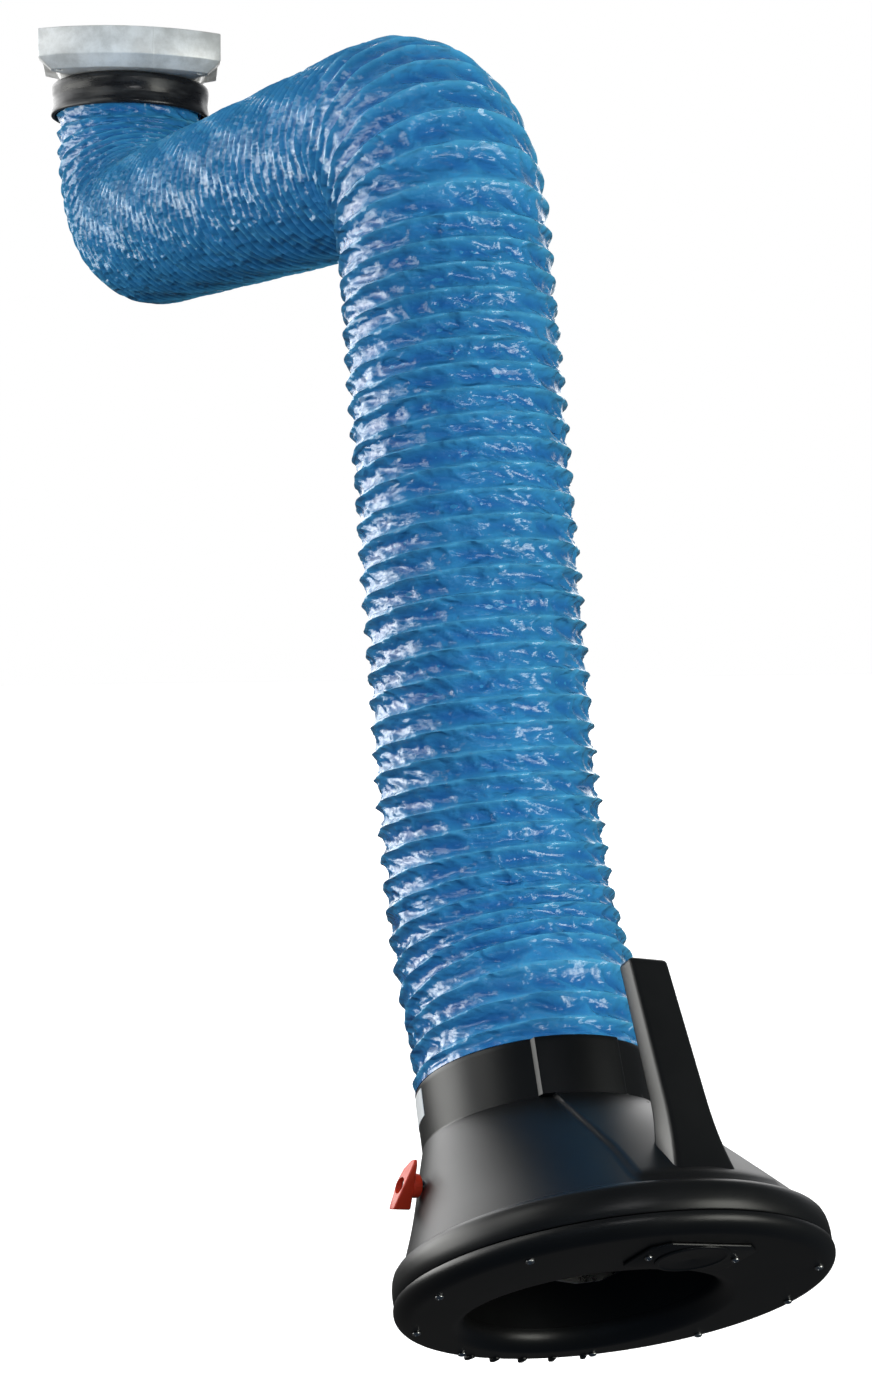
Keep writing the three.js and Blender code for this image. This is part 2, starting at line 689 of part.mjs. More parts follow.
const washerFrom = crossHalf + SEAT_GAP;
const washerTo = HOOD_FORK_GAP / 2 - SEAT_GAP;
const pitchNutY = forkOuterY + SEAT_GAP;
const pitchNut = cut(
  rod("y", CROSS_PIN_HEAD_R + 1, pitchNutY, pitchNutY + CROSS_PIN_HEAD_HEIGHT, 6),
  rod("y", crossHoleR, pitchNutY - 1, pitchNutY + CROSS_PIN_HEAD_HEIGHT + 1),
);
piece("hood_cross", hoodCross(), zincSteel, hoodJoint);
piece("pitch_pin", pitchPin(), zincSteel, hoodJoint);
piece("pitch_nut", pitchNut, zincSteel, hoodJoint);
const leftWasher = ring("y", crossHoleR, CROSS_WASHER_R, washerFrom, washerTo);
const rightWasher = ring("y", crossHoleR, CROSS_WASHER_R, -washerTo, -washerFrom);
piece("pitch_washer_left", leftWasher, frictionLining, hoodJoint);
piece("pitch_washer_right", rightWasher, frictionLining, hoodJoint);
piece("sway_pin_front", swayPin(), zincSteel, hoodJoint);
piece("sway_pin_back", swayPin(), zincSteel, hoodJoint).rotation.z = Math.PI;
piece("hood_spider", hoodSpider(), armAluminium, hoodSway);

// Hood shell: a neck for the hose, an oblique bell and a rim
const bellEndR = RIM_R - RIM_STEP;
const bellTopZ = NECK_SEAT_Z - NECK_HEIGHT;
const bellEndZ = bellTopZ - BELL_HEIGHT;
const rimZ = bellEndZ - RIM_HEIGHT;
const faceZ = rimZ - FACE_DEPTH;
const mouthX = BELL_OFFSET - (RIM_R - MOUTH_R - MOUTH_MARGIN);
const shaftZ = NECK_SEAT_Z - SHAFT_BELOW_SEAT;
const shaftHoleR = SHAFT_R + PIN_GAP;

function bellLevel(t, inset) {
  const radius = NECK_R + (bellEndR - NECK_R) * t ** BELL_FLARE - inset;
  return level(BELL_OFFSET * t ** BELL_DRIFT, radius, bellTopZ - BELL_HEIGHT * t);
}

const bellSteps = [0, 0.15, 0.3, 0.45, 0.6, 0.75, 0.88, 1];

function outerLevels(spread) {
  return [
    level(0, NECK_R + spread, NECK_SEAT_Z - SEAT_GAP),
    ...bellSteps.map((t) => bellLevel(t, -spread)),
    level(BELL_OFFSET, bellEndR + 5 + spread, bellEndZ - 3),
    level(BELL_OFFSET, RIM_R + spread, bellEndZ - 11),
    level(BELL_OFFSET, RIM_R + spread, rimZ),
  ];
}

function faceScrewPlaces() {
  const circleR = RIM_R - FACE_SCREW_INSET;
  return FACE_SCREW_ANGLES_DEG.flatMap((angle) => [angle, -angle]).map((angle) => new THREE.Vector3(
    BELL_OFFSET + circleR * Math.cos(rad(angle)),
    circleR * Math.sin(rad(angle)),
    0,
  ));
}

function faceScrewHoles(fromZ, toZ) {
  return faceScrewPlaces().map((place) => rod("z", FACE_SCREW_R + PIN_GAP, fromZ, toZ, SCREW_SIDES)
    .translate(place.x, place.y, 0));
}

function hoodShell() {
  const seatInner = NECK_SEAT_Z - HOOD_WALL;
  const innerBell = bellSteps.slice().reverse().map((t) => bellLevel(t, HOOD_WALL));
  const skin = loft([
    level(0, spigotBoreR, NECK_TOP_Z),
    level(0, spigotR, NECK_TOP_Z),
    level(0, spigotR, NECK_SEAT_Z - SEAT_GAP),
    ...outerLevels(0),
    level(BELL_OFFSET - RIM_LIP_SHIFT, RIM_R - RIM_LIP, rimZ),
    level(BELL_OFFSET - RIM_LIP_SHIFT, RIM_R - RIM_LIP, rimZ + HOOD_WALL),
    level(BELL_OFFSET, RIM_R - HOOD_WALL, rimZ + HOOD_WALL),
    level(BELL_OFFSET, RIM_R - HOOD_WALL, bellEndZ - 12),
    ...innerBell,
    level(0, NECK_R - HOOD_WALL, seatInner),
    level(0, spigotBoreR, seatInner),
  ].reverse(), true);
  const shaftHole = rod("y", shaftHoleR, -RIM_R, 0).translate(SHAFT_X, 0, shaftZ);
  return cut(skin, shaftHole, ...faceScrewHoles(rimZ - 1, rimZ + HOOD_WALL + 1));
}

// Face ring: rounded outer edge, flat face and a lip rolled into the mouth
function faceRing() {
  const wall = HOOD_WALL;
  const topZ = rimZ - SEAT_GAP;
  const backZ = faceZ + wall;
  const lipTopZ = rimZ + 2;
  const flatR = RIM_R - FACE_EDGE;
  const skin = loft([
    level(BELL_OFFSET, RIM_R - wall, topZ),
    level(BELL_OFFSET, RIM_R, topZ),
    level(BELL_OFFSET, RIM_R + 1, topZ - 3.6),
    level(BELL_OFFSET, RIM_R - 0.2, faceZ + 4.2),
    level(BELL_OFFSET, RIM_R - 3.5, faceZ + 1.4),
    level(BELL_OFFSET, flatR, faceZ),
    level(mouthX + 2, MOUTH_R + MOUTH_ROLL, faceZ),
    level(mouthX, MOUTH_R + MOUTH_ROLL / 2, faceZ + 1.5),
    level(mouthX, MOUTH_R + 2.5, faceZ + MOUTH_ROLL / 2),
    level(mouthX, MOUTH_R + 0.5, faceZ + MOUTH_ROLL),
    level(mouthX, MOUTH_R, lipTopZ),
    level(mouthX, MOUTH_R + FUNNEL_WALL, lipTopZ),
    level(mouthX, MOUTH_R + wall + 0.5, faceZ + MOUTH_ROLL),
    level(mouthX + 1, MOUTH_R + MOUTH_ROLL - 3, faceZ + 4.5),
    level(mouthX + 3, MOUTH_R + MOUTH_ROLL + 2, backZ),
    level(BELL_OFFSET, flatR + 0.2, backZ),
    level(BELL_OFFSET, RIM_R - wall - 0.8, faceZ + 5.5),
    level(BELL_OFFSET, RIM_R - wall + 0.5, topZ - 3.6),
  ].reverse(), true);
  return cut(skin, ...faceScrewHoles(faceZ - 1, backZ + 1));
}

function innerFunnel() {
  const steps = [0, 0.33, 0.66, 1];
  const bottomZ = rimZ + 2 + SEAT_GAP;
  const spread = MOUTH_R + FUNNEL_WALL - FUNNEL_TOP_R;
  const drop = bottomZ - FUNNEL_TOP_Z;
  const funnelLevel = (t, inset) => {
    const radius = FUNNEL_TOP_R + spread * t - inset;
    return level(mouthX * t, radius, FUNNEL_TOP_Z + drop * t);
  };
  const skin = loft([
    ...steps.map((t) => funnelLevel(t, 0)),
    ...steps.slice().reverse().map((t) => funnelLevel(t, FUNNEL_WALL)),
  ].reverse(), true);
  return cut(skin, rod("y", shaftHoleR, -RIM_R, RIM_R).translate(SHAFT_X, 0, shaftZ));
}

function faceScrew() {
  const headZ = faceZ - SEAT_GAP;
  return join(
    rod("z", FACE_SCREW_R, headZ - 1, rimZ + HOOD_WALL, SCREW_SIDES),
    rod("z", SCREW_HEAD_R, headZ - SCREW_HEAD_HEIGHT, headZ, SCREW_SIDES),
  );
}

piece("hood_shell", hoodShell(), blackPlastic, hood);
piece("hood_face_ring", faceRing(), blackPlastic, hood);
piece("inner_funnel", innerFunnel(), blackPlastic, hood);
faceScrewPlaces().forEach((place, i) => {
  piece(`face_screw_${i + 1}`, faceScrew(), zincSteel, hood).position.copy(place);
});

// Lamp cover on the face, in front of the handle
const lampX = mouthX + MOUTH_R + LAMP_PLATE_MARGIN + LAMP_PLATE_LENGTH / 2;
const lampPlateZ = faceZ - SEAT_GAP - LAMP_PLATE_THICKNESS;
const lampTrimZ = lampPlateZ - SEAT_GAP;

function lampCoverPlate() {
  const shape = new THREE.Shape();
  const x = LAMP_PLATE_LENGTH / 2;
  const y = LAMP_PLATE_WIDTH / 2;
  shape.moveTo(-x, 5 - y);
  shape.lineTo(-x, y - 5);
  shape.lineTo(5 - x, y);
  shape.lineTo(x - 10, y);
  shape.lineTo(x, y - 10);
  shape.lineTo(x, 10 - y);
  shape.lineTo(x - 10, -y);
  shape.lineTo(5 - x, -y);
  return new THREE.ExtrudeGeometry(shape, { depth: LAMP_PLATE_THICKNESS, bevelEnabled: false });
}

piece("lamp_cover_plate", lampCoverPlate(), blackPlastic, hood).position.set(lampX, 0, lampPlateZ);
const lampDisc = rod("z", LAMP_DISC_R, lampTrimZ - LAMP_DISC_THICKNESS, lampTrimZ, RING_SIDES);
piece("lamp_cover_disc", lampDisc, blackPlastic, hood).position.x = lampX;
for (const [name, side] of [["left", 1], ["right", -1]]) {
  const head = rod("z", SCREW_HEAD_R - 1, lampTrimZ - SCREW_HEAD_HEIGHT, lampTrimZ, SCREW_SIDES);
  piece(`lamp_screw_${name}`, head, zincSteel, hood).position.set(lampX, side * LAMP_SCREW_SPREAD, 0);
}

// Clip cover on the neck
function clipCover() {
  const inner = NECK_R + SEAT_GAP;
  const half = rad(CLIP_COVER_HALF_DEG);
  const shape = new THREE.Shape();
  shape.absarc(0, 0, inner + CLIP_COVER_THICKNESS, -half, half, false);
  shape.absarc(0, 0, inner, half, -half, true);
  return new THREE.ExtrudeGeometry(shape, { depth: CLIP_COVER_HEIGHT, bevelEnabled: false, curveSegments: 8 })
    .translate(0, 0, NECK_SEAT_Z - SEAT_GAP - CLIP_COVER_HEIGHT);
}

piece("neck_clip_cover", clipCover(), blackPlastic, hood);

// Handle: a tapered bar beside the hose, with a gusset at its foot
function barSection(x, z, halfX, halfY) {
  const bevel = Math.min(halfX, halfY) * 0.45;
  const corners = [
    [halfX, halfY - bevel], [halfX - bevel, halfY], [bevel - halfX, halfY], [-halfX, halfY - bevel],
    [-halfX, bevel - halfY], [bevel - halfX, -halfY], [halfX - bevel, -halfY], [halfX, bevel - halfY],
  ];
  return corners.map(([dx, dy]) => new THREE.Vector3(x + dx, dy, z));
}

function hoodHandle() {
  const baseX = BELL_OFFSET + RIM_R - HANDLE_INSET;
  const topX = baseX - HANDLE_LEAN;
  const footZ = HANDLE_BASE_Z - HANDLE_FOOT;
  const station = (z, depth, width) => {
    const t = (z - HANDLE_BASE_Z) / (HANDLE_TOP_Z - HANDLE_BASE_Z);
    return barSection(baseX + (topX - baseX) * t, z, depth / 2, width / 2);
  };
  const gripZ = HANDLE_BASE_Z + GUSSET_SHOULDER;
  const bar = loft([
    station(footZ, HANDLE_FOOT_DEPTH, HANDLE_FOOT_WIDTH),
    station(HANDLE_BASE_Z, HANDLE_BASE_DEPTH, HANDLE_BASE_WIDTH),
    station(gripZ, HANDLE_GRIP_DEPTH, HANDLE_GRIP_WIDTH),
    station(HANDLE_TOP_Z - HANDLE_EDGE, HANDLE_TOP_DEPTH, HANDLE_TOP_WIDTH),
    station(HANDLE_TOP_Z, HANDLE_TOP_DEPTH - HANDLE_EDGE, HANDLE_TOP_WIDTH - HANDLE_EDGE),
  ], false);
  const gusset = new THREE.Shape();
  gusset.moveTo(topX, HANDLE_BASE_Z + GUSSET_RISE);
  gusset.lineTo(baseX, footZ);
  gusset.lineTo(baseX - GUSSET_FOOT, footZ);
  gusset.lineTo(baseX - GUSSET_REACH, gripZ);
  const web = sidePlate(gusset, -GUSSET_WIDTH / 2, GUSSET_WIDTH / 2);
  const bell = loft(outerLevels(SEAT_GAP).reverse(), false);
  return cut(join(bar, web), bell);
}

piece("hood_handle", hoodHandle(), blackPlastic, hood);

// Damper: a blade on a cross shaft, turned by the knob outside the bell
const knobSweep = Math.max(...KNOB_OUTLINE.map(([x, z]) => Math.hypot(x, z)));
const knobFootZ = KNOB_OUTLINE[0][1];
const knobTopZ = Math.max(...KNOB_OUTLINE.map((point) => point[1]));
const sweepT = (bellTopZ - shaftZ + knobSweep) / BELL_HEIGHT;
const sweepR = NECK_R + (bellEndR - NECK_R) * sweepT ** BELL_FLARE;
const knobInnerY = Math.sqrt(sweepR ** 2 - (BELL_OFFSET * sweepT ** BELL_DRIFT - SHAFT_X) ** 2) + KNOB_CLEARANCE;

// The grip's outer face leans in towards its top
function knobLength(z) {
  const rise = (z - knobFootZ) / (knobTopZ - knobFootZ);
  return KNOB_FOOT_LENGTH + (KNOB_TOP_LENGTH - KNOB_FOOT_LENGTH) * rise;
}

const shaftEndY = knobInnerY + knobLength(0) - 9;
const funnelShaftR = FUNNEL_TOP_R + 6;

function damperBlade() {
  const shape = new THREE.Shape();
  shape.absellipse(0, 0, BLADE_SHORT_R, BLADE_LONG_R, 0, 2 * Math.PI, false);
  const settings = { depth: BLADE_THICKNESS, bevelEnabled: false, curveSegments: PIN_SIDES };
  return new THREE.ExtrudeGeometry(shape, settings)
    .rotateY(Math.PI / 2)
    .translate(SHAFT_R + SEAT_GAP, 0, 0);
}

function damperKnob() {
  const turn = rad(KNOB_TURN_DEG);
  const knobRing = (lengthAt) => KNOB_OUTLINE.map(([x, z]) => new THREE.Vector3(
    x * Math.cos(turn) + z * Math.sin(turn),
    -knobInnerY - lengthAt(z),
    z * Math.cos(turn) - x * Math.sin(turn),
  ));
  const grip = loft([knobRing(() => 0), knobRing(knobLength)], false);
  const hub = rod("y", KNOB_HUB_R, -knobInnerY - 1, -knobInnerY + KNOB_STANDOFF);
  return cut(join(grip, hub), rod("y", shaftHoleR, -knobInnerY - KNOB_FOOT_LENGTH - 1, 0));
}

const damper = group(hood);
damper.position.set(SHAFT_X, 0, shaftZ);
piece("damper_blade", damperBlade(), zincSteel, damper);
piece("damper_shaft", rod("y", SHAFT_R, -shaftEndY, funnelShaftR), zincSteel, damper);
piece("damper_knob", damperKnob(), redPlastic, damper);
const knobScrewY = -shaftEndY - SEAT_GAP;
piece("knob_screw", rod("y", SCREW_HEAD_R, knobScrewY - 3, knobScrewY), zincSteel, damper);

// Hose route: down from the collar, round the shoulder and the elbow, and square onto the hood's neck
class SideArc extends THREE.Curve {
  constructor(centre, radius, from, to) {
    super();
    Object.assign(this, { centre, radius, from, to });
  }

  getPoint(t, target = new THREE.Vector3()) {
    const angle = this.from + (this.to - this.from) * t;
    return target.set(
      this.centre.x + this.radius * Math.cos(angle),
      0,
      this.centre.z + this.radius * Math.sin(angle),
    );
  }
}

const sidePoint = (x, z) => new THREE.Vector3(x, 0, z);
const shoulderCorner = sidePoint(0, SHOULDER_Z - SHOULDER_CORNER_DROP);
const elbowCorner = sidePoint(ELBOW_X + ELBOW_CORNER_OUT, ELBOW_Z + ELBOW_CORNER_RISE);
const elbowToHood = sidePoint(HOOD_X, HOOD_Z).sub(elbowCorner);
const upperWay = elbowCorner.clone().sub(shoulderCorner).normalize();
const upperDrop = Math.atan2(-upperWay.z, upperWay.x);
const lowerTilt = Math.atan2(elbowToHood.x, -elbowToHood.z) - rad(LOWER_RUN_LEAN_DEG);
const lowerWay = sidePoint(Math.sin(lowerTilt), -Math.cos(lowerTilt));
const shoulderTurn = Math.PI / 2 - upperDrop;
const elbowTurn = Math.PI / 2 - upperDrop - lowerTilt;
const shoulderCut = SHOULDER_BEND_R * Math.tan(shoulderTurn / 2);
const elbowCut = ELBOW_BEND_R * Math.tan(elbowTurn / 2);
const lowerEnd = elbowCorner.clone().addScaledVector(lowerWay, elbowToHood.length() - HOOD_BEND_RUN);

hood.updateMatrixWorld(true);
hoodSway.updateWorldMatrix(true, true);
const neckSeat = new THREE.Vector3(0, 0, NECK_SEAT_Z).applyMatrix4(hood.matrixWorld);
const neckWay = new THREE.Vector3(0, 0, -1).transformDirection(hood.matrixWorld);

const route = new THREE.CurvePath();
const bendStart = sidePoint(0, shoulderCorner.z + shoulderCut);
const upperStart = shoulderCorner.clone().addScaledVector(upperWay, shoulderCut);
const upperEnd = elbowCorner.clone().addScaledVector(upperWay, -elbowCut);
const lowerStart = elbowCorner.clone().addScaledVector(lowerWay, elbowCut);
const shoulderCentre = sidePoint(SHOULDER_BEND_R, bendStart.z);
const elbowCentre = upperEnd.clone().addScaledVector(sidePoint(upperWay.z, -upperWay.x), ELBOW_BEND_R);
route.add(new THREE.LineCurve3(sidePoint(0, HOSE_TOP_Z), bendStart));
route.add(new SideArc(shoulderCentre, SHOULDER_BEND_R, Math.PI, Math.PI + shoulderTurn));
route.add(new THREE.LineCurve3(upperStart, upperEnd));
route.add(new SideArc(elbowCentre, ELBOW_BEND_R, Math.PI / 2 - upperDrop, lowerTilt));
route.add(new THREE.LineCurve3(lowerStart, lowerEnd));
route.add(new THREE.CubicBezierCurve3(
  lowerEnd,
  lowerEnd.clone().addScaledVector(lowerWay, HOOD_BEND_REACH),
  hoodJoint.position.clone().addScaledVector(neckWay, -HOOD_BEND_REACH),
  hoodJoint.position,
));
route.add(new THREE.LineCurve3(hoodJoint.position, neckSeat));
const lengths = route.getCurveLengths();
const routeLength = route.getLength();

// Stations along the hose where one stretch ends and the next begins
const shoulderStretchEnd = lengths[1] + SHOULDER_HOSE_END;
const elbowStretchStart = lengths[2] - ELBOW_HOSE_REACH + elbowCut;
const elbowStretchEnd = lengths[3] + ELBOW_HOSE_REACH - elbowCut;
const hoodStretchStart = lengths[3] + HOOD_HOSE_START - elbowCut;
const hoodStretchSplit = routeLength - HOOD_HOSE_SPLIT + NECK_SEAT_Z;

// A point of the hose at a turn round its route, counted from +Y
function hosePoint(station, turn, radius) {
  const t = THREE.MathUtils.clamp(station / routeLength, 0, 1);
  const way = t === 0 ? sidePoint(0, -1) : t === 1 ? neckWay : route.getTangent(t);
  const across = new THREE.Vector3(0, 1, 0);
  across.addScaledVector(way, -across.dot(way)).normalize();
  const rise = way.clone().cross(across);
  return route.getPoint(t).clone().addScaledVector(across, radius * Math.cos(turn))
    .addScaledVector(rise, radius * Math.sin(turn));
}

function hoseRing(station, radius) {
  return Array.from({ length: HOSE_SIDES }, (_, k) => hosePoint(station, (2 * Math.PI * k) / HOSE_SIDES, radius));
}

function isBent(station) {
  const reach = HOSE_BORE_RING_EVERY * HOSE_PITCH;
  const before = route.getTangent(Math.max(station - reach, 1) / routeLength);
  const after = route.getTangent(Math.min(station + reach, routeLength - 1) / routeLength);
  return before.angleTo(after) > 0.01;
}

// The level rings of a stretch's bore, closer together where the hose bends
function boreRings(from, to) {
  const steps = Math.max(1, Math.round((to - from) / HOSE_PITCH));
  const rings = [hoseRing(from, HOSE_BORE_R)];
  for (let i = 1; i <= steps; i += 1) {
    const station = from + ((to - from) * i) / steps;
    if (isBent(station) || i % HOSE_BORE_RING_EVERY === 0 || i === steps) {
      rings.push(hoseRing(station, HOSE_BORE_R));
    }
  }
  return rings;
}

// One stretch of hose: a crest and a valley wound round the route between two level ends
function hoseStretch(from, to) {
  const sides = HOSE_SIDES;
  const firstTurn = Math.ceil((from + HOSE_RUN_IN) / HOSE_PITCH);
  const lastTurn = Math.floor((to - HOSE_RUN_IN) / HOSE_PITCH);
  const crestEnd = (lastTurn - firstTurn) * sides;
  const valleyEnd = crestEnd - sides;
  const wound = (end, lead, radius) => Array.from({ length: end + 1 }, (_, m) => {
    const turns = firstTurn + m / sides;
    return hosePoint((turns + lead) * HOSE_PITCH, 2 * Math.PI * turns, radius(m));
  });

  const points = [];
  const add = (more) => {
    const start = points.length;
    points.push(...more);
    return (i) => start + i;
  };
  const top = add(hoseRing(from, HOSE_VALLEY_R));
  const crest = add(wound(crestEnd, 0, (m) => (m % crestEnd === 0 ? HOSE_VALLEY_R : HOSE_CREST_R)));
  const valley = add(wound(valleyEnd, 0.5, () => HOSE_VALLEY_R));
  const bottom = add(hoseRing(to, HOSE_VALLEY_R));
  const bore = boreRings(from, to).map(add);

  const index = [];
  const quad = (a, b, c, d) => index.push(a, b, d, b, c, d);
  for (let m = 0; m < valleyEnd; m += 1) {
    quad(crest(m), crest(m + 1), valley(m + 1), valley(m));
    quad(valley(m), valley(m + 1), crest(m + sides + 1), crest(m + sides));
  }
  const ends = [bottom, ...bore.reverse(), top];
  for (let k = 0; k < sides; k += 1) {
    const next = (k + 1) % sides;
    quad(top(k), top(next), crest(k + 1), crest(k));
    quad(crest(valleyEnd + k), crest(valleyEnd + k + 1), bottom(next), bottom(k));
    for (let i = 0; i + 1 < ends.length; i += 1) {
      quad(ends[i](k), ends[i](next), ends[i + 1](next), ends[i + 1](k));
    }
  }
  index.push(top(0), crest(0), crest(sides), crest(0), valley(0), crest(sides));
  index.push(crest(valleyEnd), bottom(0), crest(crestEnd), crest(valleyEnd), crest(crestEnd), valley(valleyEnd));
  return indexed(points, index);
}

const stretches = [
  ["hose_shoulder", 0, shoulderStretchEnd],
  ["hose_upper", shoulderStretchEnd + SEAT_GAP, elbowStretchStart],
  ["hose_elbow", elbowStretchStart + SEAT_GAP, elbowStretchEnd],
  ["hose_lower", elbowStretchEnd + SEAT_GAP, hoodStretchStart],
  ["hose_hood_upper", hoodStretchStart + SEAT_GAP, hoodStretchSplit],
  ["hose_hood_lower", hoodStretchSplit + SEAT_GAP, routeLength],
];
for (const [name, from, to] of stretches) {
  piece(name, hoseStretch(from, to), bluePvc, arm);
}

export default arm;
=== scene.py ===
import json
import math

import bmesh
import bpy
import numpy as np
from mathutils import Matrix, Vector, noise


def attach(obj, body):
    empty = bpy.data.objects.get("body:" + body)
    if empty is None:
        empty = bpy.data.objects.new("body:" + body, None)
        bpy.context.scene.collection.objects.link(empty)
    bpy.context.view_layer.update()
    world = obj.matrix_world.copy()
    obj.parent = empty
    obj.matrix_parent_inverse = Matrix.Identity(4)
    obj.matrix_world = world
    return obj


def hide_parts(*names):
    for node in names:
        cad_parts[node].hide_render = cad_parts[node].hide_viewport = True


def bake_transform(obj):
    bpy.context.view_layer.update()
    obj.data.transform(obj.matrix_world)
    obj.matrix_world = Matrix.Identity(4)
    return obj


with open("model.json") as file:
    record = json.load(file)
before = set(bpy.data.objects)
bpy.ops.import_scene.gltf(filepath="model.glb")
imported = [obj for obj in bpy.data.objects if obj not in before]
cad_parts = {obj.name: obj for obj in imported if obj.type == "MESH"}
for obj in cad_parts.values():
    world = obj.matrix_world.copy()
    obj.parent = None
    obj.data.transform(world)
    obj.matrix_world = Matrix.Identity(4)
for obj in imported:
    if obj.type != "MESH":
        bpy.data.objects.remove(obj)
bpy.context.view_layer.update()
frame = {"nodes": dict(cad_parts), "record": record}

bl_info = {
    "name": "Fume extraction arm",
    "version": (1, 0, 0),
    "blender": (4, 5, 0),
    "location": "View3D > Sidebar > Extraction arm",
    "description": "Dresses the fume extraction arm: hose, hood, flange and the finishes of its inner arm",
    "category": "Object",
}

MM = 0.001


def rotation(degrees, axis):
    return Matrix.Rotation(math.radians(degrees), 4, axis)


# The hood's own frame: origin at its joint, +Z up the neck, +X towards the handle
HOOD = (
    Matrix.Translation((1.0964, 0.0, -0.9313))
    @ rotation(-32.5, "Y")
    @ rotation(-4.9, "X")
    @ rotation(7.7, "Z")
)
FLANGE_TURN = math.radians(-15.25)
FLANGE = Matrix.Rotation(FLANGE_TURN, 4, "Z")

# Heights and shifts in the hood's frame
SPIGOT_TOP = -5 * MM
NECK_SEAT = -45.3 * MM
BELL_TOP = -87 * MM
BELL_END = -182 * MM
RIM_END = -204 * MM
FACE = -216.5 * MM
BELL_SHIFT = 52 * MM
MOUTH_SHIFT = 22.5 * MM
SHAFT = (4 * MM, 0.0, -126 * MM)
SPIGOT_BORE = 72.7 * MM
SPIGOT_RADIUS = 75.7 * MM

# How far the rim, and the neck with the hose, stand off the hood's middle along Y
RIM_DRIFT = 1.3 * MM
HOSE_DRIFT = -3 * MM

# Points nearer than this are one; a spun profile starts this close to its axis
MERGE = 1e-6
AXIS = 1e-5


# Sizes and colours

def length(name, description, default):
    return bpy.props.FloatProperty(name=name, description=description, default=default, unit="LENGTH")


def count(name, description, default):
    return bpy.props.IntProperty(name=name, description=description, default=default)


def paint(name, description, default):
    return bpy.props.FloatVectorProperty(name=name, description=description, default=default, subtype="COLOR")


class HoseSettings(bpy.types.PropertyGroup):
    pitch: length("Rib pitch", "Distance from one turn of the wire to the next", 0.019)
    radius: length("Crest radius", "Radius over the wire", 0.0838)
    sag: length("Sag", "How far the skin falls in between two turns", 0.0046)
    bead: length("Bead", "How far the wire lifts the skin", 0.0011)
    wrinkle: length("Wrinkle", "Depth of the creases between two turns", 0.0036)
    columns: count("Columns", "Faces round the hose", 168)
    step: length("Step", "Length of one row of faces", 0.0016)
    colour: paint("Colour", "Blue of the coated skin", (0.034, 0.228, 0.46))


class HoodSettings(bpy.types.PropertyGroup):
    segments: count("Segments", "Faces round the bell", 384)
    neck_radius: length("Neck radius", "Radius of the neck below the hose", 0.085)
    rim_radius: length("Rim radius", "Radius of the rim", 0.1447)
    mouth_radius: length("Mouth radius", "Radius of the mouth", 0.0835)
    saddle: length("Saddle", "How far the panel over the clip stands out", 0.0034)
    colour: paint("Colour", "Black of the moulded plastic", (0.0036, 0.0037, 0.0038))
    knob_colour: paint("Knob colour", "Red of the damper knob", (0.56, 0.035, 0.012))


class FlangeSettings(bpy.types.PropertyGroup):
    rim: length("Rim", "Height of the flange's upright side", 0.030)
    taper: length("Taper", "Height of the sloping underside", 0.012)
    taper_inset: length("Taper inset", "How far the underside draws in", 0.014)
    edge: length("Edge", "Rounding of the casting's edges", 0.0012)
    colour: paint("Colour", "Grey of the cast aluminium", (0.87, 0.86, 0.84))


class StageSettings(bpy.types.PropertyGroup):
    floor: length("Floor", "Height of the floor", -1.75)
    floor_colour: paint("Floor colour", "Pale floor", (0.92, 0.92, 0.92))


# Shader expressions

class Value:
    """A socket of a shader, with arithmetic."""

    def __init__(self, shader, socket):
        self.shader = shader
        self.socket = socket

    def _math(self, operation, a, b):
        return self.shader.node("ShaderNodeMath", {"operation": operation}, {0: a, 1: b})

    def __add__(self, other):
        return self._math("ADD", self, other)

    def __sub__(self, other):
        return self._math("SUBTRACT", self, other)

    def __rsub__(self, other):
        return self._math("SUBTRACT", other, self)

    def __mul__(self, other):
        return self._math("MULTIPLY", self, other)

    def __abs__(self):
        return self._math("ABSOLUTE", self, 0.0)


